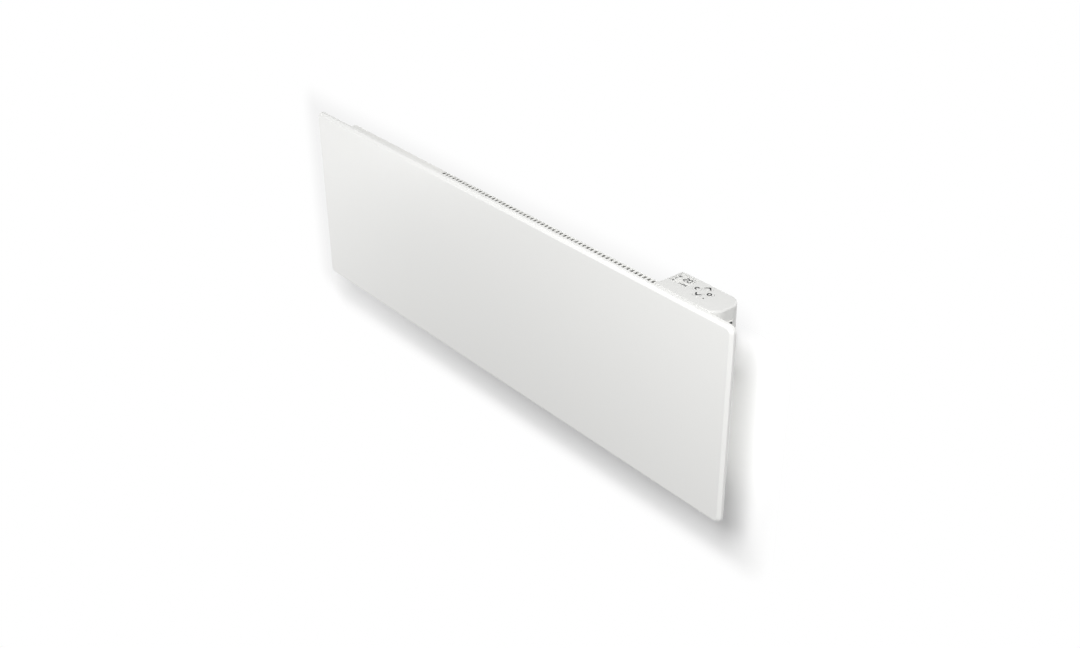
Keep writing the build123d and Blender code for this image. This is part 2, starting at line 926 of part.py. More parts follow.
def window_edges(inset):
    left = box_left + window_left_in + inset
    back = box_back - window_back_in - inset
    return (left, left + window_w - 2 * inset), (back - window_d + 2 * inset, back)


def control_box_cover():
    """The upper shell, with the key holes, the window's recess, posts and bosses."""
    outer = box_block(0, seam_z, box_top)
    outer = fillet(outer.faces().sort_by(Axis.Z)[-1].edges(), box_top_r)
    outer = chamfer(outer.faces().sort_by(Axis.Z)[0].edges(), seam_groove)
    body = outer - box_block(box_wall, seam_z - 1, box_ceiling)
    for x, y in boss_spots():
        body += rod((x, y, seam_z), UP, boss_r, box_ceiling - seam_z)
    body = body & box_block(0, seam_z, box_top)
    for x, y in key_post_spots():
        body += rod((x, y, key_board_top), UP, key_post_r, box_ceiling - key_board_top)
    cuts = [rod((x, y, box_ceiling - 1), UP, key_r + sliding_gap, box_wall + 2)
            for x, y in key_spots().values()]
    x, y = lamp_spot()
    cuts.append(rod((x, y, box_ceiling - 1), UP, guide_r + hole_gap, box_wall + 2))
    cuts.append(block(*window_edges(0), (box_top - window_t, box_top + 1)))
    cuts.append(block(*window_edges(window_ledge), (box_ceiling - 1, box_top)))
    for x, y in boss_spots():
        depth = cover_screw_len - counterbore_up + screw_tip_gap
        cuts.append(rod((x, y, seam_z - 1), UP, cover_screw_r + fit_gap, depth + 1))
    for x, y in key_post_spots():
        cuts.append(rod((x, y, key_board_top - 1), UP, board_screw_r + fit_gap, board_screw_len + 1))
    return body - cuts


def lower_lip():
    """The lower shell's lip, which stands inside the cover."""
    outer_low = box_block(box_wall, seam_z - lip_root, seam_z)
    outer_high = box_block(box_wall + hole_gap, seam_z, seam_z + lip_h)
    inner = box_block(box_wall + hole_gap + lip_t, seam_z - lip_root, seam_z + lip_h)
    lip = outer_low + outer_high - inner
    for x, y in boss_spots():
        lip -= rod((x, y, seam_z), UP, boss_r + sliding_gap, lip_h + 1)
    return lip


def control_box_base():
    """The lower shell, with bosses, board posts and openings for switch, gland and sensor."""
    outer = box_block(0, box_bottom, seam_z)
    outer = chamfer(outer.faces().sort_by(Axis.Z)[-1].edges(), seam_groove)
    body = outer - box_block(box_wall, box_floor, seam_z + 1)
    adds = [rod((x, y, box_floor), UP, boss_r, seam_z - box_floor) for x, y in boss_spots()]
    adds += [rod((x, y, box_floor), UP, board_post_r, board_post_h) for x, y in board_post_spots()]
    adds += [rod((box_left + box_wall, y, z), RIGHT, boss_r, fixing_boss_h) for y, z in box_side_screws()]
    adds += [rod((x, y, box_floor), UP, boss_r, fixing_boss_h) for x, y in box_floor_screws()]
    for piece in adds:
        body += piece
    body = body & box_block(0, box_bottom, seam_z)
    body += lower_lip()
    cuts = []
    for x, y in boss_spots():
        cuts.append(rod((x, y, box_bottom - 1), UP, cover_screw_r + hole_gap, box_h))
        depth = seam_z - counterbore_up - box_bottom
        cuts.append(rod((x, y, box_bottom - 1), UP, cover_screw_head_r + hole_gap, depth + 1))
    for x, y in board_post_spots():
        cuts.append(rod((x, y, board_z + 1), DOWN, board_screw_r + fit_gap, board_screw_len + 1))
    for y, z in box_side_screws():
        cuts.append(rod((box_left - 1, y, z), RIGHT, screw_r + fit_gap, box_screw_len + 1))
    for x, y in box_floor_screws():
        cuts.append(rod((x, y, box_bottom - 1), UP, screw_r + fit_gap, box_screw_len + 1))
    cuts.append(rod((box_left - 1, lead_y, lead_z), RIGHT, grommet_r + hole_gap, box_wall + 2))
    cuts.append(centred((box_right, rocker_y, rocker_z),
                        (4 * box_wall, switch_w + 2 * fit_gap, switch_h + 2 * fit_gap)))
    x, y = gland_spot()
    cuts.append(rod((x, y, box_bottom - 1), UP, gland_thread_r + hole_gap, box_wall + 2))
    x, y = sensor_spot()
    cuts.append(rod((x, y, box_bottom - 1), UP, sensor_r + hole_gap, box_wall + 2))
    return body - cuts


def cover_screws():
    """Long screws from below, deep in the lower shell's bosses."""
    seat = seam_z - counterbore_up
    return [screw((x, y, seat), UP, cover_screw_r, cover_screw_head_r, cover_screw_head_h,
                  cover_screw_len) for x, y in boss_spots()]


def box_screws():
    """Screws from inside the casing into the lower shell's bosses."""
    seat_x = box_left - casing_sheet
    seat_z = box_bottom - casing_sheet
    sides = [screw((seat_x, y, z), RIGHT, screw_r, screw_head_r, screw_head_h, box_screw_len)
             for y, z in box_side_screws()]
    floor = [screw((x, y, seat_z), UP, screw_r, screw_head_r, screw_head_h, box_screw_len)
             for x, y in box_floor_screws()]
    return sides + floor


# ---------------------------------------------------------------- display and keys
def display_window():
    """A clear plate, flush in the cover's recess."""
    return block(*window_edges(fit_gap), (box_top - window_t, box_top))


def display_module():
    """The display's frame and glass: it stands on the key board and reaches up to the window."""
    x, y = window_edges(window_ledge + display_gap)
    return block(x, y, (key_board_top, box_top - window_t - display_gap))


def key_board():
    left, right, front, back = key_board_edges()
    board = block((left, right), (front, back), (key_board_top - key_board_t, key_board_top))
    holes = [rod((x, y, key_board_top + 1), DOWN, board_screw_r + hole_gap, key_board_t + 2)
             for x, y in key_post_spots()]
    return board - holes


def key_board_screws():
    seat = key_board_top - key_board_t
    return [screw((x, y, seat), UP, board_screw_r, board_screw_head_r, board_screw_head_h,
                  board_screw_len) for x, y in key_post_spots()]


def tact_switches():
    """Square switch bodies with a round well for the key's plunger."""
    parts = []
    for x, y in key_spots().values():
        body = centred((x, y, key_board_top + tact_h / 2), (tact_size, tact_size, tact_h))
        parts.append(body - rod((x, y, tact_top + 1), DOWN, tact_well_r, tact_well + 1))
    return parts


def key(x, y):
    """A round cap in its hole, a flange that stops it under the cover, and its plunger."""
    flange_top = box_ceiling - fit_gap / 2
    cap = rod((x, y, flange_top - key_flange_t), UP, key_r, box_top + key_proud - flange_top + key_flange_t)
    cap = fillet(cap.faces().sort_by(Axis.Z)[-1].edges(), key_proud * 0.8)
    flange = rod((x, y, flange_top), DOWN, key_flange_r, key_flange_t)
    tip = tact_top - tact_well + key_travel + key_spare
    stem = rod((x, y, tip), UP, key_stem_r, flange_top - tip)
    return cap + flange + stem


def light_guide():
    x, y = lamp_spot()
    foot = key_board_top + led_h
    flange_top = box_ceiling
    body = rod((x, y, foot), UP, guide_r, box_top - foot)
    return body + rod((x, y, flange_top), DOWN, guide_flange_r, guide_flange_t)


def indicator_led():
    x, y = lamp_spot()
    return centred((x, y, key_board_top + led_h / 2), (led_size, led_size, led_h))


# ---------------------------------------------------------------- power board
def board_edges():
    return (box_left + board_left_in, box_right - board_right_in,
            box_front + board_front_in, box_back - board_back_in)


def board_post_spots():
    left, right, front, back = board_edges()
    inset = board_post_in
    return [(x, y) for x in (left + inset, right - inset) for y in (front + inset, back - inset)]


def power_board():
    left, right, front, back = board_edges()
    board = block((left, right), (front, back), (board_z, board_top))
    holes = [rod((x, y, board_top + 1), DOWN, board_screw_r + hole_gap, board_t + 2)
             for x, y in board_post_spots()]
    return board - holes


def power_board_screws():
    return [screw((x, y, board_top), DOWN, board_screw_r, board_screw_head_r, board_screw_head_h,
                  board_screw_len) for x, y in board_post_spots()]


def on_board(x, y, size):
    """A part that stands on the power board, by its low corner."""
    return block((x, x + size[0]), (y, y + size[1]), (board_top, board_top + size[2]))


def relays():
    left, _, front, _ = board_edges()
    return [on_board(left + relay_left_in + i * relay_pitch, front + relay_front_in, relay_size)
            for i in range(2)]


def transformer():
    """A laminated core with its winding standing out on two sides."""
    left, _, _, back = board_edges()
    x = left + relay_left_in + coil_core[0] / 2
    y = back - coil_back_in
    core = centred((x, y, board_top + coil_core[2] / 2), coil_core)
    return core + centred((x, y, board_top + coil_core[2] / 2), coil_wind)


def film_capacitor():
    left, _, front, _ = board_edges()
    return on_board(left + film_cap_left_in, front + film_cap_front_in, film_cap_size)


def can_capacitors():
    left, _, _, back = board_edges()
    parts = []
    for i in range(2):
        spot = (left + can_left_in + i * can_pitch, back - can_back_in, board_top)
        can = rod(spot, UP, can_r, can_h)
        parts.append(fillet(can.faces().sort_by(Axis.Z)[-1].edges(), can_round))
    return parts


def terminal_block():
    """Three ways, each with a funnel for its lead and a screw well above."""
    wide, deep, tall = block_size
    body = block((block_x, block_x + wide), (lead_y - deep / 2, lead_y + deep / 2),
                 (board_top, board_top + tall))
    for step in (-1, 0, 1):
        y = lead_start(step)[1]
        body -= rod((block_x - 1, y, lead_z), RIGHT, lead_r + hole_gap, lead_in_block + 1)
        body -= rod((block_x + wide / 2, y, board_top + tall + 1), DOWN, lead_r, 3)
    return body


def board_link():
    """A flat cable between two small sockets, from the power board up to the key board."""
    _, right, _, back = board_edges()
    x, y = right - link_right_in, back - link_back_in
    wide, deep, tall = link_plug
    low = centred((x, y, board_top + tall / 2), (wide, deep, tall))
    key_under = key_board_top - key_board_t
    high = centred((x, y, key_under - tall / 2), (wide, deep, tall))
    strip = block((x - link_w / 2, x + link_w / 2), (y - link_t / 2, y + link_t / 2),
                  (board_top + tall, key_under - tall))
    return low + high + strip


# ---------------------------------------------------------------- rocker switch
def switch_frame():
    """Bezel and housing, with a well for the rocker and two pivot holes."""
    y, z = rocker_y, rocker_z
    bezel = block((box_right, box_right + bezel_t), (y - bezel_w / 2, y + bezel_w / 2),
                  (z - bezel_h / 2, z + bezel_h / 2))
    bezel = fillet(bezel.faces().sort_by(Axis.X)[-1].edges(), bezel_t * 0.4)
    body = block((box_right - switch_depth, box_right), (y - switch_w / 2, y + switch_w / 2),
                 (z - switch_h / 2, z + switch_h / 2))
    half_w = rocker_w / 2 + sliding_gap
    half_h = rocker_reach + sliding_gap
    well = block((rocker_x - rocker_cavity, box_right + 2 * bezel_t), (y - half_w, y + half_w),
                 (z - half_h, z + half_h))
    pivot = rod((rocker_x, y - switch_w, z), BACK, rocker_pin_r + running_gap, 2 * switch_w)
    trimmed = block((rocker_x - 3, rocker_x + 3), (y - half_w - rocker_pin_len, y + half_w + rocker_pin_len),
                    (z - 3, z + 3))
    return bezel + body - well - (pivot & trimmed)


def rocker():
    """A rocker whose hollow face has two flats; it rests with its upper half out."""
    y, z = rocker_y, rocker_z
    rise = tan(radians(rocker_half_angle)) * rocker_reach
    outline = [(-rocker_hub_r, -rocker_reach), (rocker_face + rise, -rocker_reach), (rocker_face, 0),
               (rocker_face + rise, rocker_reach), (-rocker_hub_r, rocker_reach)]
    place = Plane(origin=(0, y + rocker_w / 2, 0), x_dir=RIGHT, z_dir=FRONT)
    body = extrude(place * Polygon(*outline, align=None), amount=rocker_w)
    body = body & rod((0, y - rocker_w, 0), BACK, rocker_reach, 2 * rocker_w)
    pins = rod((0, y - rocker_w / 2 - rocker_pin_len, 0), BACK, rocker_pin_r, rocker_w + 2 * rocker_pin_len)
    return Pos(rocker_x, 0, z) * Rot(0, rocker_half_angle, 0) * (body + pins)


def switch_blades():
    """Two blades at the back of the switch."""
    wide, thick, long = switch_blade
    x = box_right - switch_depth - long / 2
    return [centred((x, rocker_y, rocker_z + s * switch_blade_dz / 2), (long, wide, thick))
            for s in (-1, 1)]


def switch_leads():
    """Two short leads from the switch's blades down to the power board."""
    start = box_right - switch_depth - switch_blade[2]
    parts = []
    for side in (-1, 1):
        z = rocker_z + side * switch_blade_dz / 2
        drop = start - (switch_lead_out + side * switch_lead_step)
        points = [(start, rocker_y, z), (drop, rocker_y, z), (drop, rocker_y, board_top)]
        parts.append(lead(points, switch_lead_bend, switch_lead_r))
    return parts


# ---------------------------------------------------------------- gland and sensor
def gland_spot():
    return box_left + gland_x_in, box_back - gland_back_in


def cable_gland():
    """A gland under the box's floor: hexagon, tapered dome, thread up through the floor."""
    x, y = gland_spot()
    body = hex_prism((x, y, box_bottom), DOWN, gland_hex, gland_body_h)
    dome = rod((x, y, box_bottom - gland_body_h), DOWN, gland_dome_r, gland_dome_h)
    body += fillet(dome.faces().sort_by(Axis.Z)[0].edges(), 3)
    body += rod((x, y, box_bottom), UP, gland_thread_r, gland_thread_up)
    length = gland_body_h + gland_dome_h + gland_thread_up
    return body - rod((x, y, box_bottom + gland_thread_up), DOWN, gland_bore_r, length)


def gland_nut():
    x, y = gland_spot()
    nut = hex_prism((x, y, box_floor), UP, gland_hex, gland_nut_h)
    return nut - rod((x, y, box_floor - 1), UP, gland_thread_r + fit_gap, gland_nut_h + 2)


def sensor_spot():
    return box_left + sensor_x_in, box_back - sensor_back_in


def sensor_holder():
    """A vented cup in the box's floor that the sensor hangs in."""
    x, y = sensor_spot()
    top = box_floor + sensor_flange_t
    body = rod((x, y, top), DOWN, sensor_r, box_wall + sensor_flange_t + sensor_down)
    body += rod((x, y, top), DOWN, sensor_flange_r, sensor_flange_t)
    depth = box_wall + sensor_flange_t + sensor_down - 1
    body -= rod((x, y, top), DOWN, sensor_bore_r, depth)
    low = box_bottom - sensor_down
    for direction in (RIGHT, BACK):
        reach = [s - 2 * sensor_r * c for s, c in zip((x, y, low + sensor_down / 2), direction)]
        body -= rod(reach, direction, sensor_vent_r, 4 * sensor_r)
    return body


def room_sensor():
    """A sensor bead on its stiff legs, held by a plug in the cup's mouth."""
    x, y = sensor_spot()
    top = box_floor + sensor_flange_t
    body = rod((x, y, top), DOWN, sensor_bore_r - fit_gap, sensor_plug_h)
    body += rod((x, y, top - sensor_plug_h), DOWN, sensor_bead_r, box_wall + sensor_down / 2)
    return body + rod((x, y, top), UP, sensor_leg_r, sensor_leg_up)


# ---------------------------------------------------------------- wall bracket
def bracket_leg(side):
    """A hat section on the wall: feet, side walls and a web with a hook and a latch hole."""
    x, t = side * leg_x, leg_sheet
    half = leg_web_w / 2
    outer = half + leg_foot_w
    outline = [(-outer, 0), (-outer, -t), (-half, -t), (-half, web_y), (half, web_y), (half, -t),
               (outer, -t), (outer, 0), (half - t, 0), (half - t, web_y + t), (t - half, web_y + t),
               (t - half, 0)]
    body = column([(x + u, v) for u, v in outline], leg_bottom, leg_top)
    body += block((x - half, x + half), (web_y, web_y + t), (leg_top, leg_top + leg_tab_h))
    reach = casing_inner_y - axial_gap - hook_lip_t
    width = (x - hook_w / 2, x + hook_w / 2)
    body += block(width, (reach, web_y), (hook_z - hook_t, hook_z))
    body += block(width, (reach, reach + hook_lip_t), (hook_z - hook_t, hook_z + hook_lip_h))
    body -= rod((x, web_y - 1, latch_z), BACK, latch_shaft_r + running_gap, t + 2)
    for z in (-wall_hole_dz / 2, wall_hole_dz / 2):
        body -= rod((side * wall_hole_dx / 2, 1, z), FRONT, wall_hole_r, t + 2)
    return body


def bracket_rail():
    """A channel between the legs, lapped over their inner feet."""
    t = leg_sheet
    back = -t
    outline = [(back, rail_z), (back, rail_z + rail_h), (back - rail_lip, rail_z + rail_h),
               (back - rail_lip, rail_z + rail_h - t), (back - t, rail_z + rail_h - t),
               (back - t, rail_z + t), (back - rail_lip, rail_z + t), (back - rail_lip, rail_z)]
    end = leg_x - leg_web_w / 2 - leg_foot_w + rail_lap
    return bar_along_x(outline, -end, end)


def back_pads():
    """Rubber pads between the casing's back and the legs."""
    half = pad_size / 2
    return [block((s * leg_x - half, s * leg_x + half), (casing_back_y, web_y), (pad_z - half, pad_z + half))
            for s in (-1, 1)]


def latch_cam(side):
    """A T-head inside the casing on a shaft through the leg's web, with a square end."""
    x = side * leg_x
    head_back = casing_inner_y - axial_gap
    head = centred((x, head_back - latch_head_t / 2, latch_z), (latch_head_len, latch_head_t, latch_head_w))
    head = fillet(head.edges().filter_by(Axis.Y), latch_head_w * 0.4)
    shaft_end = web_y + leg_sheet + axial_gap / 2
    shaft = rod((x, head_back, latch_z), BACK, latch_shaft_r, shaft_end - head_back)
    square = block((x - latch_square / 2, x + latch_square / 2), (shaft_end, shaft_end + lever_t),
                   (latch_z - latch_square / 2, latch_z + latch_square / 2))
    return head + shaft + square


def latch_lever(side):
    """The finger lever on the shaft's square end; it stands up when the latch is locked."""
    x = side * leg_x
    start = web_y + leg_sheet + axial_gap / 2
    place = Plane(origin=(x, start + lever_t, latch_z), x_dir=RIGHT, z_dir=FRONT)
    reach = lever_len - lever_w / 2
    shape = Circle(lever_w / 2) + Pos(0, reach / 2) * Rectangle(lever_w, reach)
    shape += Pos(0, reach) * Circle(lever_w / 2)
    hole = latch_square + 2 * fit_gap
    return extrude(place * (shape - Rectangle(hole, hole)), amount=lever_t)


# ---------------------------------------------------------------- write the parts
os.makedirs("parts", exist_ok=True)

save("front_panel", front_panel())
save("panel_studs", *[rod((x, panel_inner_y, z), BACK, stud_r, stud_len) for x, z in stud_spots()])
nut_seat = panel_inner_y + casing_sheet
save("flange_nuts", *[hex_prism((x, nut_seat, z), BACK, nut_flat, nut_h)
                      - rod((x, nut_seat, z), BACK, stud_r + fit_gap, nut_h) for x, z in stud_spots()])
save("rear_casing", rear_casing())

save("element_fin_body", fin_body())
save("element_sheath", sheath())
save("element_insulators", *insulators())
save("element_terminals", *element_terminals())
save("element_bracket_left", carrier(-1))
save("element_bracket_right", carrier(1))
save("element_bushes", *bushes())
save("casing_screws", *[screw((x, casing_back_y, z), FRONT, screw_r, screw_head_r, screw_head_h, screw_len)
                        for x, z in carrier_screw_spots()], earth_screw())
save("heat_shield", heat_shield())
save("cutout_bracket", cutout_bracket())
save("thermal_cutout", thermal_cutout())
save("rivets", *casing_rivets(), *cutout_rivets())

save("lead_live", lead_live())
save("lead_link", lead_link())
save("lead_neutral", lead_neutral())
save("lead_earth", lead_earth())
save("lead_terminals", receptacle_on_x(-1), receptacle_on_x(1), receptacle_on_z(-1),
     receptacle_on_z(1), earth_lug())
save("lead_grommet", lead_grommet())
save("wire_clips", *wire_clips())

save("control_box_base", control_box_base())
save("control_box_cover", control_box_cover())
save("cover_screws", *cover_screws())
save("box_screws", *box_screws())
save("display_window", display_window())
save("display_module", display_module())
save("key_board", key_board())
save("tact_switches", *tact_switches())
for name, (kx, ky) in key_spots().items():
    save(name, key(kx, ky))
save("light_guide", light_guide())
save("indicator_led", indicator_led())

save("power_board", power_board())
save("board_screws", *key_board_screws(), *power_board_screws())
save("relays", *relays())
save("transformer", transformer())
save("capacitors", film_capacitor(), *can_capacitors())
save("terminal_block", terminal_block())
save("board_link", board_link())

save("switch_frame", switch_frame())
save("rocker", rocker())
save("switch_blades", *switch_blades())
save("switch_leads", *switch_leads())

save("cable_gland", cable_gland())
save("gland_nut", gland_nut())
save("sensor_holder", sensor_holder())
save("room_sensor", room_sensor())

save("bracket_rail", bracket_rail())
save("back_pads", *back_pads())
for side_name, s in (("left", -1), ("right", 1)):
    save(f"bracket_leg_{side_name}", bracket_leg(s))
    save(f"latch_cam_{side_name}", latch_cam(s))
    save(f"latch_lever_{side_name}", latch_lever(s))
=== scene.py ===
"""Wall panel convector heater: fine surfaces, printed marks, finishes and a studio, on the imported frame.

Lengths are in metres, and MM turns a size in millimetres into metres.
"""
import math

import bpy
import numpy as np
from bpy.props import FloatProperty, FloatVectorProperty, PointerProperty
from mathutils import Matrix, Vector


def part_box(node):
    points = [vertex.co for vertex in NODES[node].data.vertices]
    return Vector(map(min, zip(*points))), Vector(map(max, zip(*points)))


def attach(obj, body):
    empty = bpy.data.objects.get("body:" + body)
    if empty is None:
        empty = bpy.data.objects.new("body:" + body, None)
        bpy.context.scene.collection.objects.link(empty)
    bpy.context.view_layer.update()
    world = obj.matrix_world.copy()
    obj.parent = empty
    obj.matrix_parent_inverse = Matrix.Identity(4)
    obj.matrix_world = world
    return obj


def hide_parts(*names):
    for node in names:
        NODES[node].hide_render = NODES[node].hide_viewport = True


bl_info = {
    "name": "Wall panel convector heater",
    "version": (1, 0, 0),
    "blender": (4, 5, 0),
    "location": "View3D > Sidebar > Heater",
    "description": "Gives the heater its fine surfaces, marks, finishes and studio",
    "category": "Object",
}

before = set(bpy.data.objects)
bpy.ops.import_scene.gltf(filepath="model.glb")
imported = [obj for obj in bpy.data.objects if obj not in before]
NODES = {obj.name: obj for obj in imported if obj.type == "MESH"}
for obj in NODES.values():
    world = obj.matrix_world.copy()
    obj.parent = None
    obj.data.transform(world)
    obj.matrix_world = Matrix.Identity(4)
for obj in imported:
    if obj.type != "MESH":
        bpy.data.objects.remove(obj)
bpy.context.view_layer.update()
MM = 0.001
SHARP = math.radians(35)  # edges that turn by more than this stay sharp

# ---------------------------------------------------------------- colours and sizes that a user may set
def linear(code):
    """An sRGB hex colour as linear RGBA."""
    parts = [int(code[i:i + 2], 16) / 255 for i in (1, 3, 5)]
    return [c / 12.92 if c <= 0.04045 else ((c + 0.055) / 1.055) ** 2.4 for c in parts] + [1.0]


def colour_setting(name, what, code):
    """A colour setting with an sRGB hex default."""
    return FloatVectorProperty(name=name, description=what, subtype="COLOR", size=4, min=0, max=1,
                               default=linear(code))


def length_setting(name, what, millimetres):
    """A length setting with a default in millimetres."""
    return FloatProperty(name=name, description=what, default=millimetres * MM, min=0, unit="LENGTH")


class HeaterColours(bpy.types.PropertyGroup):
    """Colours of what shows from the room."""
    panel: colour_setting("Panel", "Powder coat on the front panel", "#EAEAE8")
    casing: colour_setting("Casing", "Powder coat on the casing and the wall bracket", "#E6E6E3")
    box: colour_setting("Control box", "Moulded plastic of the control box and its keys", "#DBDBD9")
    ink: colour_setting("Ink", "Ink of the marks on the keys", "#0C0C0D")
    segment: colour_setting("Segments", "Dark segments of the display", "#101113")


class HeaterSizes(bpy.types.PropertyGroup):
    """Sizes of the pieces that are made here."""
    sheet: length_setting("Sheet", "Thickness of the panel's steel", 1.0)
    bevel: length_setting("Bevel", "Width of the panel's bevel, seen from the front", 4.3)
    corner: length_setting("Corner", "Radius of the panel's corners, seen from the front", 12.0)
    fold: length_setting("Fold", "Outer radius of the panel's folds", 1.3)
    stroke: length_setting("Stroke", "Width of the lines of the key marks", 2.5)
    chevron: length_setting("Chevron", "Half the width of an arrow mark", 5.2)
    ring: length_setting("Ring", "Radius of the round key marks", 2.9)
    digit: length_setting("Digit", "Height of the display's large digits", 9.0)
    print_thickness: length_setting("Print", "Thickness of a printed mark", 0.04)


class HeaterStudio(bpy.types.PropertyGroup):
    """Camera, even light and backdrop."""
    lens: FloatProperty(name="Lens", description="Focal length on a 36 mm sensor",
                        default=46.19, unit="CAMERA")
    place: FloatVectorProperty(name="Camera", description="Where the camera stands",
                               default=(1.57844, -1.28474, 1.09710), subtype="TRANSLATION")
    azimuth: FloatProperty(name="Azimuth", description="How far to the right the camera stands, as an angle",
                           default=0.879767, subtype="ANGLE")
    elevation: FloatProperty(name="Elevation", description="Height angle of the camera",
                             default=0.525981, subtype="ANGLE")
    roll: FloatProperty(name="Roll", description="Turn of the picture about its centre",
                        default=0.00808944, subtype="ANGLE")
    sky: FloatProperty(name="Sky", description="Strength of the even light from all round",
                       default=0.24, min=0)
    paper: FloatProperty(name="Paper", description="How light the backdrop shows, against white paper",
                         default=1.12, min=0)
    # Painted shade: the backdrop's material darkens the wall near the heater to this value, by distance, not by
    # light.
    shade: FloatProperty(name="Shade", description="How light the wall is right beside the heater",
                         default=0.90, min=0, max=1)
    painted_shade_reach: FloatProperty(name="Shade reach", description="How far the soft shade on the wall goes",
                               default=0.06, unit="LENGTH")
    shadow_keep: FloatProperty(name="Shadow", description="How far past its part of the wall a shadow is whole",
                               default=0.015, unit="LENGTH")
    shadow_reach: FloatProperty(name="Shadow reach", description="How far past it the shadow has faded out",
                                default=0.06, unit="LENGTH")
    floor_drop: FloatProperty(name="Floor", description="How far the floor lies under the heater's middle",
                              default=0.9, unit="LENGTH")


class HeaterSettings(bpy.types.PropertyGroup):
    """All settings of the heater."""
    colours: PointerProperty(type=HeaterColours)
    sizes: PointerProperty(type=HeaterSizes)
    studio: PointerProperty(type=HeaterStudio)


def settings():
    """The heater's settings in this scene."""
    return bpy.context.scene.heater


# ---------------------------------------------------------------- meshes from arrays
def grid_quads(rows, columns, wrap_rows=False, wrap_columns=False):
    """Quads between neighbours of a grid of points, numbered row by row."""
    r, c = np.meshgrid(np.arange(rows - (not wrap_rows)), np.arange(columns - (not wrap_columns)),
                       indexing="ij")
    r, c = r.ravel(), c.ravel()
    below, beside = (r + 1) % rows * columns, (c + 1) % columns
    return np.stack([r * columns + c, r * columns + beside, below + beside, below + c], 1)


def signed_volume(points, faces):
    """Six times the volume inside the faces: each face is a fan of triangles, seen from the middle."""
    centred = points - points.mean(0)
    total = 0.0
    for face in faces:
        first, rest = centred[face[0]], centred[np.asarray(face[1:])]
        total += np.sum(np.cross(rest[:-1], rest[1:]) @ first)
    return total


def solid(points, faces):
    """Points and faces of one closed shape, with its faces turned outwards."""
    faces = [list(map(int, f)) for f in faces]
    if signed_volume(points, faces) < 0:
        faces = [f[::-1] for f in faces]
    return points, faces


def joined(shapes):
    """Several closed shapes as one list of points and faces."""
    points, faces, start = [], [], 0
    for shape_points, shape_faces in shapes:
        points.append(shape_points)
        faces += [[i + start for i in f] for f in shape_faces]
        start += len(shape_points)
    return np.concatenate(points), faces


def piece(name, shape, material, body):
    """A new piece from points and faces: it rides on a body and takes a material."""
    points, faces = shape
    mesh = bpy.data.meshes.new(name)
    mesh.from_pydata(points.tolist(), [], faces)
    mesh.update()
    mesh.shade_smooth()
    mesh.set_sharp_from_angle(angle=SHARP)
    mesh.materials.append(material)
    made = bpy.data.objects.new(name, mesh)
    bpy.context.scene.collection.objects.link(made)
    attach(made, body)
    return made


def rounded_profile(corners, radii, steps=6):
    """A run of straight lines whose corners are arcs: each arc starts its radius times the tangent of half
    the turn before the corner, and is a circle of that radius about the point where both normals meet."""
    points = [np.array([corners[0]])]
    for before, corner, after, radius in zip(corners, corners[1:], corners[2:], radii):
        into = np.subtract(corner, before) / np.linalg.norm(np.subtract(corner, before))
        out = np.subtract(after, corner) / np.linalg.norm(np.subtract(after, corner))
        turn = math.atan2(into[0] * out[1] - into[1] * out[0], into @ out)
        back = radius * math.tan(abs(turn) / 2)
        normal = np.array([-into[1], into[0]]) * math.copysign(1, turn)
        centre = np.array(corner) - into * back + normal * radius
        angles = np.linspace(0, turn, steps + 1)
        arm = -normal * radius
        points.append(centre + np.stack([arm[0] * np.cos(angles) - arm[1] * np.sin(angles),
                                         arm[0] * np.sin(angles) + arm[1] * np.cos(angles)], 1))
    points.append(np.array([corners[-1]]))
    return np.concatenate(points)


def rounded_loop(half_width, half_height, radius, arc_steps=16, side_steps=10):
    """A rounded rectangle as arc centres and outward directions: a point of the loop moved in by d is its
    centre plus its direction times the radius less d, so every inset loop keeps true arcs."""
    centres, directions = [], []
    for quarter in range(4):
        sx, sy = (1, 1, -1, -1)[quarter], (-1, 1, 1, -1)[quarter]
        angles = math.radians(-90 + 90 * quarter) + np.linspace(0, math.pi / 2, arc_steps + 1)
        here = np.array([sx * (half_width - radius), sy * (half_height - radius)])
        centres.append(np.tile(here, (arc_steps + 1, 1)))
        directions.append(np.stack([np.cos(angles), np.sin(angles)], 1))
        nsx, nsy = (1, -1, -1, 1)[quarter], (1, 1, -1, -1)[quarter]
        there = np.array([nsx * (half_width - radius), nsy * (half_height - radius)])
        share = np.linspace(0, 1, side_steps + 2)[1:-1, None]
        centres.append(here + (there - here) * share)
        directions.append(np.tile(directions[-1][-1], (side_steps, 1)))
    return np.concatenate(centres), np.concatenate(directions)


def stroke(path, width, low, high, closed=False):
    """A flat line of constant width along an (x, y) path, between two heights. Each point moves half the
    width along the mean of its two side normals, over the cosine of half the turn."""
    path = np.asarray(path, float)
    steps = np.roll(path, -1, 0) - path
    steps /= np.linalg.norm(steps, axis=1)[:, None]
    after, before = steps.copy(), np.roll(steps, 1, 0)
    if not closed:
        after[-1], before[0] = before[-1], after[0]
    normals = np.stack([-(after + before)[:, 1], (after + before)[:, 0]], 1)
    normals /= np.linalg.norm(normals, axis=1)[:, None]
    reach = width / 2 / (normals[:, 0] * -after[:, 1] + normals[:, 1] * after[:, 0])
    left, right = path + normals * reach[:, None], path - normals * reach[:, None]
    rows = [np.column_stack([side, np.full(len(path), z)])
            for side, z in ((left, low), (right, low), (right, high), (left, high))]
    points = np.stack(rows, 1).reshape(-1, 3)
    faces = grid_quads(len(path), 4, wrap_rows=closed, wrap_columns=True).tolist()
    if not closed:
        faces += [[0, 1, 2, 3], [len(points) - k for k in (1, 2, 3, 4)]]
    return solid(points, faces)


def arc(centre, radius, start, end, steps):
    """Points of a circle about a centre, from one angle to another, in degrees."""
    angles = np.radians(np.linspace(start, end, steps))
    return np.array(centre) + radius * np.stack([np.cos(angles), np.sin(angles)], 1)


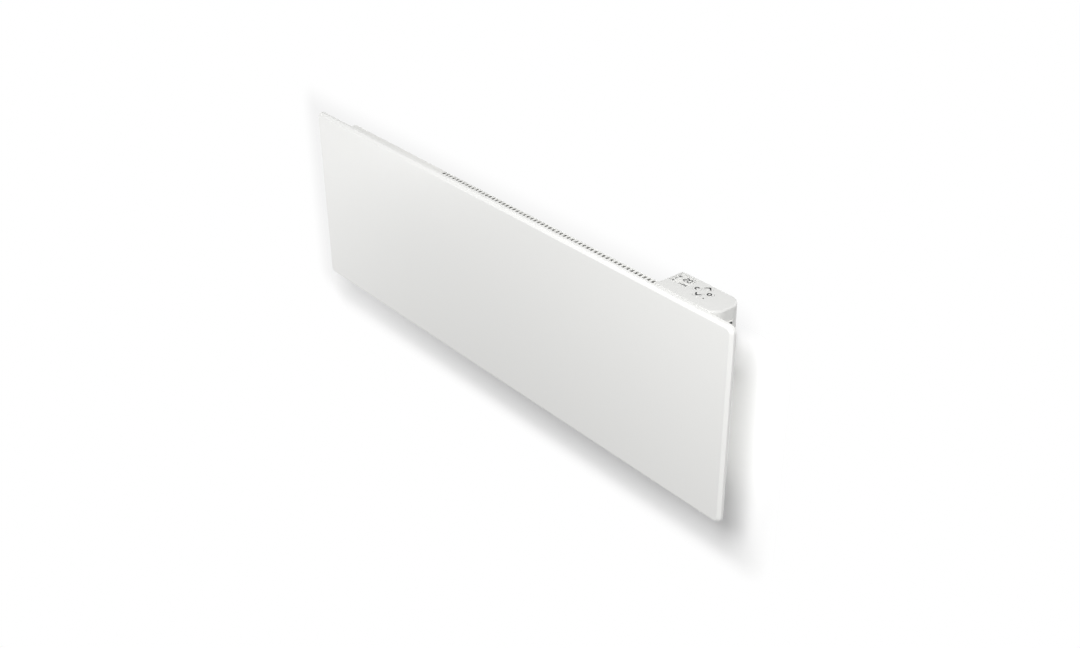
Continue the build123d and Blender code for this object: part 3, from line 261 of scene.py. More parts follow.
def prism(outline, low, high):
    """A flat outline of (x, y) points between two heights."""
    outline = np.asarray(outline, float)
    count = len(outline)
    points = np.concatenate([np.column_stack([outline, np.full(count, z)]) for z in (low, high)])
    sides = grid_quads(2, count, wrap_columns=True).tolist()
    return solid(points, [list(range(count)), list(range(2 * count - 1, count - 1, -1)), *sides])


# ---------------------------------------------------------------- materials: helpers
def add(tree, kind, inputs=None, **options):
    """Add one shader node. Each input is a value, or the output socket that feeds it."""
    node = tree.nodes.new("ShaderNode" + kind)
    for name, value in options.items():
        setattr(node, name, value)
    for key, value in (inputs or {}).items():
        if isinstance(value, bpy.types.NodeSocket):
            tree.links.new(value, node.inputs[key])
        else:
            node.inputs[key].default_value = value
    return node


def shade(colour, factor):
    """A colour made darker or lighter by a factor."""
    return [min(1.0, c * factor) for c in colour[:3]] + [1.0]


def surface(name, colour, rough, patch=45.0, tone=0.03, grain=1.0, relief=0.01, stretch=(1, 1, 1), **shader):
    """A material with its own patches of tone and gloss, and a fine relief.

    rough is the lowest and highest roughness; patch is the patches' size and grain the relief's, in
    millimetres; tone is how far patches turn darker and lighter; relief is the height of the grain in
    millimetres; stretch lengthens the pattern along the axes; shader names other inputs of the Principled
    shader. Returns the material, its tree and the Principled shader.
    """
    material = bpy.data.materials.new(name)
    material.use_nodes = True
    tree = material.node_tree
    tree.nodes.clear()
    where = add(tree, "TexCoord").outputs["Object"]
    drawn = add(tree, "Mapping", {"Vector": where, "Scale": [1 / s for s in stretch]}).outputs[0]
    patches = add(tree, "TexNoise", {"Vector": drawn, "Scale": 1 / (patch * MM), "Detail": 3.0}).outputs[0]
    tones = add(tree, "Mix", {0: patches, 6: shade(colour, 1 - tone), 7: shade(colour, 1 + tone)},
                data_type="RGBA")
    gloss = add(tree, "MapRange", {"Value": patches, "From Min": 0.3, "From Max": 0.7,
                                   "To Min": rough[0], "To Max": rough[1]}).outputs[0]
    bumps = add(tree, "TexNoise", {"Vector": drawn, "Scale": 1 / (grain * MM), "Detail": 2.0}).outputs[0]
    normal = add(tree, "Bump", {"Height": bumps, "Distance": relief * MM, "Strength": 1.0}).outputs[0]
    shader_node = add(tree, "BsdfPrincipled", {"Base Color": tones.outputs[2], "Roughness": gloss,
                                               "Normal": normal, **shader})
    add(tree, "OutputMaterial", {"Surface": shader_node.outputs[0]})
    return material, tree, shader_node


def along_axis(tree, axis):
    """The coordinate along an object axis."""
    where = add(tree, "TexCoord").outputs["Object"]
    return add(tree, "SeparateXYZ", {0: where}).outputs["XYZ".index(axis)]


def rows_of(tree, axis, pitch):
    """A value that rises and falls once every pitch millimetres along an object axis."""
    along = along_axis(tree, axis)
    turns = add(tree, "Math", {0: along, 1: 2 * math.pi / (pitch * MM)}, operation="MULTIPLY").outputs[0]
    return add(tree, "Math", {0: turns}, operation="SINE").outputs[0]


def above(tree, axis, limit):
    """1 past a coordinate along an object axis, and 0 before it."""
    return add(tree, "Math", {0: along_axis(tree, axis), 1: limit}, operation="GREATER_THAN").outputs[0]


def two_tone(tree, shader, mask, colour):
    """Paint a second colour where the mask is 1, over what feeds the base colour."""
    under = shader.inputs["Base Color"].links[0].from_socket
    both = add(tree, "Mix", {0: mask, 6: under, 7: colour}, data_type="RGBA")
    tree.links.new(both.outputs[2], shader.inputs["Base Color"])


def dress(material, *names):
    """Put a material on every slot of CAD nodes."""
    for name in names:
        data = NODES[name].data
        if not data.materials:
            data.materials.append(material)
        for place in NODES[name].material_slots:
            place.material = material


# ---------------------------------------------------------------- materials: painted and bare metal
def powder_coat(name, colour):
    """Polyester powder coat on steel, sprayed dry and baked: a satin film that flowed into a faint orange
    peel, about 2 mm from hump to hump, with hardly any change of tone over the sheet."""
    return surface(name, colour, (0.36, 0.44), patch=160, tone=0.006, grain=2.0, relief=0.008,
                   **{"Coat Weight": 0.12, "Coat Roughness": 0.25})[0]


def zinc_plate():
    """Zinc-plated steel, bright passivated: a cool metal with cloudy grey and faint straw patches."""
    material, tree, shader = surface("zinc_plated_steel", linear("#B9BDC1"), (0.28, 0.46), patch=14,
                                     tone=0.08, grain=0.9, relief=0.01, Metallic=1.0)
    straw = add(tree, "TexNoise", {"Vector": add(tree, "TexCoord").outputs["Object"],
                                   "Scale": 1 / (22 * MM), "Detail": 1.0}).outputs[0]
    spots = add(tree, "MapRange", {"Value": straw, "From Min": 0.55, "From Max": 0.8,
                                   "To Min": 0.0, "To Max": 0.35}).outputs[0]
    two_tone(tree, shader, spots, linear("#C6BE9F"))
    return material


def extruded_aluminium():
    """Aluminium as it leaves the die: a bright matt metal with long draw lines along the extrusion."""
    return surface("extruded_aluminium", linear("#C3C5C8"), (0.34, 0.5), patch=6, tone=0.05, grain=0.7,
                   relief=0.02, stretch=(60, 1, 1), Metallic=1.0)[0]


def aluminised_sheet():
    """Hot-dip aluminised steel: a soft grey metal with a faint crystal spangle, 4 mm across."""
    material, tree, shader = surface("aluminised_steel", linear("#BFC1C2"), (0.36, 0.5), patch=30, tone=0.04,
                                     grain=1.2, relief=0.008, Metallic=1.0)
    where = add(tree, "TexCoord").outputs["Object"]
    spangle = add(tree, "TexVoronoi", {"Vector": where, "Scale": 1 / (4 * MM)}).outputs["Color"]
    value = add(tree, "MapRange", {"Value": spangle, "To Min": 0.0, "To Max": 0.25}).outputs[0]
    two_tone(tree, shader, value, linear("#A7AAAC"))
    return material


def drawn_stainless():
    """Drawn stainless tube that has been hot: a grey metal with fine length lines and a faint bronze tint."""
    return surface("heated_stainless", linear("#8F8A84"), (0.3, 0.42), patch=18, tone=0.1, grain=0.4,
                   relief=0.01, stretch=(30, 1, 1), Metallic=1.0)[0]


def rivet_aluminium():
    """Soft aluminium of blind rivets: bright, slightly dull from tumbling."""
    return surface("tumbled_aluminium", linear("#C9CBCD"), (0.3, 0.42), patch=3, tone=0.05, grain=0.5,
                   relief=0.01, Metallic=1.0)[0]


def brass():
    """Half-hard brass strip, stamped: warm yellow with a slight brown bloom where it was handled."""
    return surface("stamped_brass", linear("#C9A862"), (0.25, 0.4), patch=5, tone=0.12, grain=0.4,
                   relief=0.008, Metallic=1.0)[0]


def tinned_brass():
    """Tinned brass of push-on receptacles: a pale, slightly yellow grey metal."""
    return surface("tinned_brass", linear("#C2BFB6"), (0.3, 0.45), patch=4, tone=0.08, grain=0.4,
                   relief=0.008, Metallic=1.0)[0]


# ---------------------------------------------------------------- materials: plastics, rubber, ceramic
def moulded(name, colour, rough=(0.46, 0.56), grain=0.9, relief=0.012, tone=0.01):
    """Injection-moulded plastic from a spark-eroded tool: an even, silky matt skin. The real grain is about
    0.3 mm, and it is drawn three times as coarse so that a near view shows it."""
    return surface(name, colour, rough, patch=70, tone=tone, grain=grain, relief=relief)[0]


def frosted_lens():
    """Clear acrylic lens over the display: all but unseen, with a clean gloss and the faintest pale veil."""
    return surface("veiled_acrylic", linear("#E4E4E2"), (0.12, 0.18), patch=60, tone=0.005, grain=5.0,
                   relief=0.002, Alpha=0.06)[0]


def display_glass():
    """Reflective liquid-crystal glass with its diffuser behind: a pale grey, faintly greenish, very even."""
    return surface("crystal_display", linear("#E8E8E5"), (0.22, 0.28), patch=25, tone=0.006, grain=2.5,
                   relief=0.001)[0]


def printed_ink(name, colour):
    """Pad-printed two-part ink: dense, slightly glossy, with a faint uneven edge of tone."""
    return surface(name, colour, (0.4, 0.5), patch=2.5, tone=0.12, grain=0.4, relief=0.004)[0]


def silicone(name, colour):
    """Extruded or moulded silicone: soft, dry and matt, with a faint bloom that lightens it in patches."""
    return surface(name, colour, (0.55, 0.7), patch=9, tone=0.07, grain=0.5, relief=0.01,
                   **{"Sheen Weight": 0.15, "Sheen Roughness": 0.5})[0]


def earth_lead():
    """Silicone insulation in green and yellow: the real one's stripes run along it, and here they are bands
    across it, one every 6 mm, so that both colours show at every turn of the lead."""
    material, tree, shader = surface("green_yellow_silicone", linear("#4E9A2E"), (0.5, 0.65), patch=9,
                                     tone=0.06, grain=0.5, relief=0.01)
    bands = add(tree, "Math", {0: rows_of(tree, "Z", 6.0), 1: 0.2}, operation="GREATER_THAN").outputs[0]
    two_tone(tree, shader, bands, linear("#E2CF3A"))
    return material


def pad_rubber():
    """Black moulded rubber: dull, with a fine leathery grain and a grey bloom."""
    return surface("moulded_rubber", linear("#2A2A2B"), (0.65, 0.8), patch=6, tone=0.15, grain=0.8,
                   relief=0.03)[0]


def steatite():
    """Glazed steatite ceramic: a warm white body under a thin clear glaze."""
    return surface("glazed_steatite", linear("#EFEBDF"), (0.3, 0.4), patch=5, tone=0.03, grain=1.5,
                   relief=0.01, **{"Coat Weight": 0.7, "Coat Roughness": 0.08})[0]


def cutout_case():
    """Thermal cut-out: a brown-black phenolic case between a bright metal cap and tinned blades."""
    low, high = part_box("thermal_cutout")
    cap_height, blade_height = 6.0 * MM, 8.0 * MM
    material, tree, shader = surface("phenolic_and_metal", linear("#1E1A18"), (0.35, 0.5), patch=6, tone=0.1,
                                     grain=0.6, relief=0.01)
    blades = above(tree, "Z", high.z - blade_height)
    case = above(tree, "Z", low.z + cap_height)
    metal = add(tree, "Math", {0: 1.0, 1: case}, operation="SUBTRACT").outputs[0]
    bright = add(tree, "Math", {0: metal, 1: blades}, operation="MAXIMUM").outputs[0]
    two_tone(tree, shader, bright, linear("#BDBDBA"))
    tree.links.new(bright, shader.inputs["Metallic"])
    return material


# ---------------------------------------------------------------- materials: electronics
def board_laminate():
    """Glass-epoxy board under green solder mask: copper tracks show as paler green lanes, 2.5 mm apart."""
    material, tree, shader = surface("solder_mask_board", linear("#1F5F3A"), (0.25, 0.38), patch=12,
                                     tone=0.06, grain=0.7, relief=0.004)
    where = add(tree, "TexCoord").outputs["Object"]
    lanes = add(tree, "TexBrick", {"Vector": where, "Color1": (1, 1, 1, 1), "Color2": (0.8, 0.8, 0.8, 1),
                                   "Mortar": (0, 0, 0, 1), "Scale": 1 / (10 * MM), "Mortar Size": 0.02,
                                   "Brick Width": 0.9, "Row Height": 0.25}).outputs["Fac"]
    two_tone(tree, shader, lanes, linear("#3F8A54"))
    return material


def black_mouldings():
    """Black glass-filled nylon of relays, capacitors and small switches, with a fine matt grain."""
    return moulded("black_nylon", linear("#1C1D1F"), (0.4, 0.52), grain=0.6, tone=0.08)


def transformer_parts():
    """Transformer: varnished steel laminations, 0.5 mm thick and drawn as 1 mm, and a taped winding."""
    low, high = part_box("transformer")
    middle, half_stack = (low.y + high.y) / 2, 10.2 * MM
    material, tree, shader = surface("varnished_laminations", linear("#4A4B4E"), (0.35, 0.5), patch=8,
                                     tone=0.1, grain=0.7, relief=0.01)
    sheets = add(tree, "Math", {0: rows_of(tree, "X", 1.0), 1: 0.75}, operation="GREATER_THAN").outputs[0]
    two_tone(tree, shader, sheets, linear("#2C2D2F"))
    near = above(tree, "Y", middle - half_stack)
    front = add(tree, "Math", {0: 1.0, 1: near}, operation="SUBTRACT").outputs[0]
    rear = above(tree, "Y", middle + half_stack)
    tape = add(tree, "Math", {0: front, 1: rear}, operation="MAXIMUM").outputs[0]
    two_tone(tree, shader, tape, linear("#D9B84A"))
    return material


def ribbon_cable():
    """Grey flat cable: parallel round cores, 1.27 mm apart, that catch the light as fine ribs."""
    material, tree, shader = surface("flat_cable", linear("#A9ABAD"), (0.45, 0.55), patch=8, tone=0.03,
                                     grain=0.7, relief=0.01)
    ribs = rows_of(tree, "X", 1.27)
    relief = add(tree, "Bump", {"Height": ribs, "Distance": 0.15 * MM, "Strength": 0.6}).outputs[0]
    tree.links.new(relief, shader.inputs["Normal"])
    return material


# ---------------------------------------------------------------- front panel
def panel_shape():
    """The panel's profile carried round its outline. The profile runs from the face over both outer folds
    to the back edge, round it, and along the inner side of the sheet to the face again."""
    sizes = settings().sizes
    low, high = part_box("front_panel")
    face, back = low.y, high.y
    sheet, bevel, fold = sizes.sheet, sizes.bevel, sizes.fold
    inner_bevel = bevel - sheet * (2 - math.sqrt(2))
    flat = bevel + 4 * MM
    cut_edge, inner_fold = 0.25 * MM, 0.4 * MM
    corners = [(flat, face), (bevel, face), (0, face + bevel), (0, back), (sheet, back),
               (sheet, face + sheet + inner_bevel), (sheet + inner_bevel, face + sheet), (flat, face + sheet)]
    radii = [fold, fold, cut_edge, cut_edge, inner_fold, inner_fold]
    profile = rounded_profile(corners, radii)
    half_width, half_height = (high.x - low.x) / 2, (high.z - low.z) / 2
    centres, directions = rounded_loop(half_width, half_height, sizes.corner)
    inset, depth = profile[:, :1], profile[:, 1:]
    reach = (sizes.corner - inset)[:, :, None]
    flat_points = centres[None] + reach * directions[None]
    middle = np.array([(low.x + high.x) / 2, (low.z + high.z) / 2])
    flat_points = flat_points + middle
    depths = np.broadcast_to(depth, flat_points.shape[:2])
    points = np.stack([flat_points[..., 0], depths, flat_points[..., 1]], -1).reshape(-1, 3)
    rows, columns = len(profile), len(centres)
    faces = grid_quads(rows, columns, wrap_columns=True).tolist()
    faces.append(list(range(columns - 1, -1, -1)))
    faces.append(list(range((rows - 1) * columns, rows * columns)))
    return solid(points, faces)


class HEATER_OT_front_panel(bpy.types.Operator):
    """Make the front panel with soft folds, in powder coat"""
    bl_idname = "heater.front_panel"
    bl_label = "Front panel"

    def execute(self, context):
        paint = powder_coat("panel_powder_coat", settings().colours.panel)
        made = piece("front_panel_pressing", panel_shape(), paint, "heater")
        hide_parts("front_panel")
        return {"FINISHED"}


# ---------------------------------------------------------------- casing, shield and heating element
class HEATER_OT_casing(bpy.types.Operator):
    """Finish the rear casing with its studs, nuts, screws and rivets"""
    bl_idname = "heater.casing"
    bl_label = "Rear casing"

    def execute(self, context):
        dress(powder_coat("casing_powder_coat", settings().colours.casing), "rear_casing")
        dress(zinc_plate(), "panel_studs", "flange_nuts", "casing_screws", "box_screws", "cover_screws",
              "board_screws", "element_bracket_left", "element_bracket_right", "cutout_bracket",
              "latch_cam_left", "latch_cam_right")
        dress(rivet_aluminium(), "rivets")
        return {"FINISHED"}


class HEATER_OT_element(bpy.types.Operator):
    """Finish the heating element, its bushes, the heat shield and the thermal cut-out"""
    bl_idname = "heater.element"
    bl_label = "Heating element"

    def execute(self, context):
        dress(extruded_aluminium(), "element_fin_body")
        dress(drawn_stainless(), "element_sheath")
        dress(steatite(), "element_insulators")
        dress(brass(), "element_terminals", "switch_blades")
        dress(silicone("red_silicone", linear("#9C3B2A")), "element_bushes", "lead_grommet")
        dress(aluminised_sheet(), "heat_shield")
        dress(cutout_case(), "thermal_cutout")
        return {"FINISHED"}


class HEATER_OT_wiring(bpy.types.Operator):
    """Finish the leads, their receptacles and the clips"""
    bl_idname = "heater.wiring"
    bl_label = "Wiring"

    def execute(self, context):
        dress(silicone("brown_silicone", linear("#5A3420")), "lead_live")
        dress(silicone("white_silicone", linear("#E4E2DC")), "lead_link", "switch_leads")
        dress(silicone("blue_silicone", linear("#2C55A0")), "lead_neutral")
        dress(earth_lead(), "lead_earth")
        dress(tinned_brass(), "lead_terminals")
        dress(moulded("natural_nylon", linear("#E3DFD0"), (0.4, 0.5)), "wire_clips")
        return {"FINISHED"}


# ---------------------------------------------------------------- control box
class HEATER_OT_control_box(bpy.types.Operator):
    """Finish the control box's shells, its rocker switch, gland and sensor holder"""
    bl_idname = "heater.control_box"
    bl_label = "Control box"

    def execute(self, context):
        box = settings().colours.box
        dress(moulded("box_plastic", box), "control_box_base", "control_box_cover")
        dress(moulded("switch_frame_plastic", linear("#DDDDDA"), (0.35, 0.45)), "switch_frame")
        dress(moulded("rocker_plastic", linear("#232426"), (0.22, 0.3), relief=0.004, tone=0.05), "rocker")
        dress(moulded("gland_nylon", linear("#D9D9D5"), (0.42, 0.52)), "cable_gland", "gland_nut",
              "sensor_holder")
        dress(surface("epoxy_bead", linear("#1B1B1D"), (0.18, 0.28), patch=2, tone=0.1, grain=1.0,
                      relief=0.01)[0], "room_sensor")
        return {"FINISHED"}


class HEATER_OT_boards(bpy.types.Operator):
    """Finish the two boards and what stands on them"""
    bl_idname = "heater.boards"
    bl_label = "Boards"

    def execute(self, context):
        dress(board_laminate(), "key_board", "power_board")
        dress(black_mouldings(), "tact_switches", "relays", "capacitors")
        dress(transformer_parts(), "transformer")
        dress(moulded("green_polyamide", linear("#2F7A45"), (0.38, 0.5), tone=0.05), "terminal_block")
        dress(ribbon_cable(), "board_link")
        dress(moulded("led_epoxy", linear("#EFEAD2"), (0.15, 0.25), relief=0.003), "indicator_led")
        return {"FINISHED"}


def key_middle(name):
    """The middle of a key's top, from its box."""
    low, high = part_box(name)
    return (low.x + high.x) / 2, (low.y + high.y) / 2, high.z


def chevron_mark(key, way):
    """Two bars that meet at a point, towards the wall for way 1 and towards the room for way -1. The mark is
    a little over half as deep as it is wide."""
    sizes = settings().sizes
    x, y, top = key_middle(key)
    half, rise = sizes.chevron, sizes.chevron * 1.1
    path = [(x - half, y - way * rise / 2), (x, y + way * rise / 2), (x + half, y - way * rise / 2)]
    return stroke(path, sizes.stroke, top - sizes.print_thickness, top + sizes.print_thickness)


def ring_mark(key, start, end):
    """A ring about the key's middle, from one angle to another in degrees. A whole turn closes it, and its
    last point then lies one step of 10 degrees before its first. Its line is a tenth thinner than a bar."""
    sizes = settings().sizes
    x, y, top = key_middle(key)
    whole = end - start >= 360
    path = arc((x, y), sizes.ring, start, end - 10 * whole, 36)
    return stroke(path, sizes.stroke * 0.9, top - sizes.print_thickness, top + sizes.print_thickness,
                  closed=whole)


class HEATER_OT_keys(bpy.types.Operator):
    """Print the marks on the four keys, and finish the keys and the indicator"""
    bl_idname = "heater.keys"
    bl_label = "Keys"

    def execute(self, context):
        colours = settings().colours
        dress(moulded("key_plastic", colours.box, (0.42, 0.5), relief=0.008), "key_up", "key_down",
              "key_power", "key_mode")
        dress(moulded("smoked_acrylic", linear("#3C3D3F"), (0.1, 0.2), relief=0.002), "light_guide")
        ink = printed_ink("key_ink", colours.ink)
        marks = {"key_up": chevron_mark("key_up", 1), "key_down": chevron_mark("key_down", -1),
                 "key_power": ring_mark("key_power", 42, 302), "key_mode": ring_mark("key_mode", 0, 360)}
        for key, shape in marks.items():
            piece(key + "_mark", shape, ink, key)
        return {"FINISHED"}


# ---------------------------------------------------------------- display
# Bars of a seven-segment digit, lettered clockwise from the top one, with g in the middle.
BARS_OF = {"0": "abcdef", "2": "abged"}
FIGURES = "20"

# The display's layout in millimetres, from the lower left corner of its module.
SIGNS_X, SIGN_RADIUS = 3.3, 3.1
SUN_Y, MOON_Y, HOUSE_Y = 17.5, 10.1, 3.2
FIGURES_X, FIGURES_Y = 13.4, 12.2
DEGREE_RADIUS, DEGREE_LINE = 0.9, 0.7
TIMER_BARS, TIMER_X, TIMER_Y, TIMER_PITCH, TIMER_WIDTH = 7, 16.4, 1.3, 2.1, 1.7
TIMER_LOWEST, TIMER_RISE = 2.0, 0.35


def digit_bar(start, end, width, low, high):
    """A bar of a digit, pointed at both ends: a hexagon whose shoulders lie half the width from its tips."""
    start, end = np.array(start), np.array(end)
    along = (end - start) / np.linalg.norm(end - start) * width / 2
    across = np.array([-along[1], along[0]])
    outline = [start, start + along + across, end - along + across, end, end - along - across,
               start + along - across]
    return prism(outline, low, high)


def digit(character, x, y, height, low, high):
    """One seven-segment digit by its lower left corner, with a thin gap between its bars. It is a little over
    half as wide as it is high, and its bars are a quarter of its height thick."""
    width, bar = height * 0.56, height * 0.26
    gap = bar * 0.06
    left, right = x + gap, x + width - gap
    middle, top = y + height / 2, y + height
    ends = {"a": ((left, top), (right, top)),
            "b": ((x + width, middle + gap), (x + width, top - gap)),
            "c": ((x + width, y + gap), (x + width, middle - gap)),
            "d": ((left, y), (right, y)),
            "e": ((x, y + gap), (x, middle - gap)),
            "f": ((x, middle + gap), (x, top - gap)),
            "g": ((left, middle), (right, middle))}
    return [digit_bar(*ends[s], bar, low, high) for s in BARS_OF[character]]


def sun_sign(x, y, radius, low, high):
    """A disc of six tenths of the radius, with eight short rays round it."""
    disc, ray_foot, ray_width = radius * 0.6, radius * 0.7, radius * 0.3
    turns = np.radians(np.arange(8) * 45.0)
    rays = [stroke([(x + c * ray_foot, y + s * ray_foot), (x + c * radius, y + s * radius)], ray_width,
                   low, high) for c, s in zip(np.cos(turns), np.sin(turns))]
    return [prism(arc((x, y), disc, 0, 342, 20), low, high), *rays]


def moon_sign(x, y, radius, low, high):
    """A crescent that is open on its right: an arc between two tips, closed by a second arc through them
    about a point half the radius further right."""
    tip, shift = 50, 0.5
    tip_x, tip_y = math.cos(math.radians(tip)) - shift, math.sin(math.radians(tip))
    inner, lean = math.hypot(tip_x, tip_y), math.degrees(math.atan2(tip_y, tip_x))
    outer_arc = arc((x, y), radius, tip, 360 - tip, 20)
    inner_arc = arc((x + shift * radius, y), inner * radius, 360 - lean, lean, 16)
    return [prism(np.concatenate([outer_arc, inner_arc[1:-1]]), low, high)]


def house_sign(x, y, radius, low, high):
    """A roof over a block two thirds as wide, with a thin gap between them."""
    ridge, half, eaves = y + radius * 0.9, radius * 0.65, y - radius * 0.15
    roof = [(x - radius, y), (x + radius, y), (x, ridge)]
    walls = [(x - half, y - radius), (x + half, y - radius), (x + half, eaves), (x - half, eaves)]
    return [prism(roof, low, high), prism(walls, low, high)]


def display_shape():
    """What the display shows: a column of three small signs, 20 degrees, and a row of timer bars that rises
    to the right. The lower signs are smaller, and the degree ring stands at the upper right of the figures."""
    sizes = settings().sizes
    low_corner, high_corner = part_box("display_module")
    x0, y0 = low_corner.x, low_corner.y
    low, high = high_corner.z - sizes.print_thickness, high_corner.z + sizes.print_thickness
    sign_x, radius = x0 + SIGNS_X * MM, SIGN_RADIUS * MM
    shapes = sun_sign(sign_x, y0 + SUN_Y * MM, radius, low, high)
    shapes += moon_sign(sign_x, y0 + MOON_Y * MM, radius * 0.8, low, high)
    shapes += house_sign(sign_x, y0 + HOUSE_Y * MM, radius * 0.75, low, high)
    left, foot, step = x0 + FIGURES_X * MM, y0 + FIGURES_Y * MM, sizes.digit * 0.82
    for i, character in enumerate(FIGURES):
        shapes += digit(character, left + i * step, foot, sizes.digit, low, high)
    degree_middle = (left + len(FIGURES) * step + 1.0 * MM, foot + sizes.digit - 0.6 * MM)
    shapes.append(stroke(arc(degree_middle, DEGREE_RADIUS * MM, 0, 340, 18), DEGREE_LINE * MM, low, high,
                         closed=True))
    for i in range(TIMER_BARS):
        x, foot = x0 + (TIMER_X + TIMER_PITCH * i) * MM, y0 + TIMER_Y * MM
        tall = (TIMER_LOWEST + TIMER_RISE * i) * MM
        shapes.append(stroke([(x, foot), (x, foot + tall)], TIMER_WIDTH * MM, low, high))
    return joined(shapes)


class HEATER_OT_display(bpy.types.Operator):
    """Finish the display and its lens, and draw what it shows"""
    bl_idname = "heater.display"
    bl_label = "Display"

    def execute(self, context):
        dress(frosted_lens(), "display_window")
        dress(display_glass(), "display_module")
        ink = printed_ink("display_segments", settings().colours.segment)
        piece("display_figures", display_shape(), ink, "heater")
        return {"FINISHED"}


# ---------------------------------------------------------------- wall bracket
class HEATER_OT_bracket(bpy.types.Operator):
    """Finish the wall bracket, its pads and its two turn latches"""
    bl_idname = "heater.bracket"
    bl_label = "Wall bracket"

    def execute(self, context):
        paint = powder_coat("bracket_powder_coat", settings().colours.casing)
        dress(paint, "bracket_leg_left", "bracket_leg_right", "bracket_rail")
        dress(pad_rubber(), "back_pads")
        dress(moulded("lever_nylon", linear("#2A2B2D"), (0.4, 0.5), tone=0.05), "latch_lever_left",
              "latch_lever_right")
        return {"FINISHED"}


# ---------------------------------------------------------------- studio
def camera_matrix():
    """The camera's place and axes: it looks back along its azimuth and elevation, then rolls."""
    studio = settings().studio
    a, e = studio.azimuth, studio.elevation
    back = Vector((math.sin(a) * math.cos(e), -math.cos(a) * math.cos(e), math.sin(e)))
    right = Vector((math.cos(a), math.sin(a), 0))
    down = right.cross(back)
    c, s = math.cos(studio.roll), math.sin(studio.roll)
    turned_right, turned_down = c * right + s * down, c * down - s * right
    axes = Matrix((turned_right, -turned_down, back)).transposed()
    return Matrix.Translation(studio.place) @ axes.to_4x4()


# Each lamp: its name, its place, the point that it is turned to, its width and height, and its watts. The
# front one lights the face and the control box from above, the left and top ones lift the face's left end
# and the panel's upper edge, the right one lights the right edge and the box's end, and the last the back.
LAMPS = (("lamp_front", (0.90, -1.25, 1.47), (0.0, 0.0, 0.0), 0.9, 0.9, 36.5),
         ("lamp_left", (-0.86, -0.66, -0.02), (-0.35, -0.05, 0.05), 0.4, 0.4, 2.2),
         ("lamp_top", (-0.75, -0.28, 1.05), (-0.35, -0.05, 0.1), 0.6, 0.2, 1.3),
         ("lamp_right", (2.0, -0.59, -0.70), (0.0, -0.05, 0.05), 1.1, 1.1, 9),
         ("lamp_behind", (0.6, 2.2, 0.6), (0.0, 0.0, 0.0), 1.8, 1.4, 34))


def softbox(name, place, aim, width, height, watts):
    """A rectangular lamp at a place, turned towards a point."""
    lamp = bpy.data.lights.new(name, "AREA")
    lamp.shape = "RECTANGLE"
    lamp.size, lamp.size_y, lamp.energy = width, height, watts
    holder = bpy.data.objects.new(name, lamp)
    holder.location = place
    holder.rotation_euler = (Vector(aim) - Vector(place)).to_track_quat("-Z", "Y").to_euler()
    bpy.context.scene.collection.objects.link(holder)


def seen_rays(tree):
    """1 for rays that show a surface as such: from the camera, or in a gloss or a clear piece."""
    rays = add(tree, "LightPath")
    gloss = add(tree, "Math", {0: rays.outputs["Is Camera Ray"], 1: rays.outputs["Is Glossy Ray"]},
                operation="MAXIMUM").outputs[0]
    return add(tree, "Math", {0: gloss, 1: rays.outputs["Is Transmission Ray"]},
               operation="MAXIMUM").outputs[0]


# Two parts of the wall, each as its middle and half its size, 2 m deep along y so that they reach past it:
# the one that the painted soft shade surrounds, which lies down and to the left of the heater, and the one in
# which the heater's own shadow shows.
PAINTED_SHADE_WALL = (-0.0995, 0.0, -0.069), (0.5535, 1.0, 0.175)
SHADOW_WALL = (-0.05, 0.0, -0.10), (0.55, 1.0, 0.16)


def distance_outside(tree, middle, half_size):
    """The distance from a box: the length of what |place - middle| has past half its size."""
    where = add(tree, "TexCoord").outputs["Object"]
    offset = add(tree, "VectorMath", {0: where, 1: middle}, operation="SUBTRACT").outputs[0]
    away = add(tree, "VectorMath", {0: offset}, operation="ABSOLUTE").outputs[0]
    past = add(tree, "VectorMath", {0: away, 1: half_size}, operation="SUBTRACT").outputs[0]
    outside = add(tree, "VectorMath", {0: past, 1: (0, 0, 0)}, operation="MAXIMUM").outputs[0]
    return add(tree, "VectorMath", {0: outside}, operation="LENGTH").outputs["Value"]


def backdrop_paint():
    """White matt backdrop: its front shows the heater's shadow from the lamps, with a faint soft shade painted
    round it by the distance from a fixed box on the wall, and turns pure white away from it. The paper takes
    half of the painted shade, because the heater's own shadow falls on it too. The backdrop lets light through
    to the heater's back, and doesn't show from behind."""
    material = bpy.data.materials.new("backdrop_white")
    material.use_nodes = True
    tree = material.node_tree
    tree.nodes.clear()
    studio = settings().studio
    # Painted shade: near a fixed box on the wall, both the paper and the white glow turn darker by distance.
    soft = add(tree, "MapRange", {"Value": distance_outside(tree, *PAINTED_SHADE_WALL), "From Min": 0.0,
                                  "From Max": studio.painted_shade_reach, "To Min": studio.shade, "To Max": 1.0},
               interpolation_type="SMOOTHSTEP").outputs[0]
    tint = add(tree, "Math", {0: soft, 1: studio.paper / 2, 2: studio.paper / 2},
               operation="MULTIPLY_ADD").outputs[0]
    paper = add(tree, "BsdfDiffuse", {"Color": tint}).outputs[0]
    white = add(tree, "Emission", {"Color": linear("#FFFFFF"), "Strength": soft}).outputs[0]
    fade = add(tree, "MapRange", {"Value": distance_outside(tree, *SHADOW_WALL),
                                  "From Min": studio.shadow_keep, "From Max": studio.shadow_reach},
               interpolation_type="SMOOTHSTEP").outputs[0]
    front = add(tree, "MixShader", {0: fade, 1: paper, 2: white}).outputs[0]
    behind = add(tree, "NewGeometry").outputs["Backfacing"]
    facing = add(tree, "Math", {0: 1.0, 1: behind}, operation="SUBTRACT").outputs[0]
    shown = add(tree, "Math", {0: seen_rays(tree), 1: facing}, operation="MULTIPLY").outputs[0]
    clear = add(tree, "BsdfTransparent").outputs[0]
    mixed = add(tree, "MixShader", {0: shown, 1: clear, 2: front})
    add(tree, "OutputMaterial", {"Surface": mixed.outputs[0]})
    return material


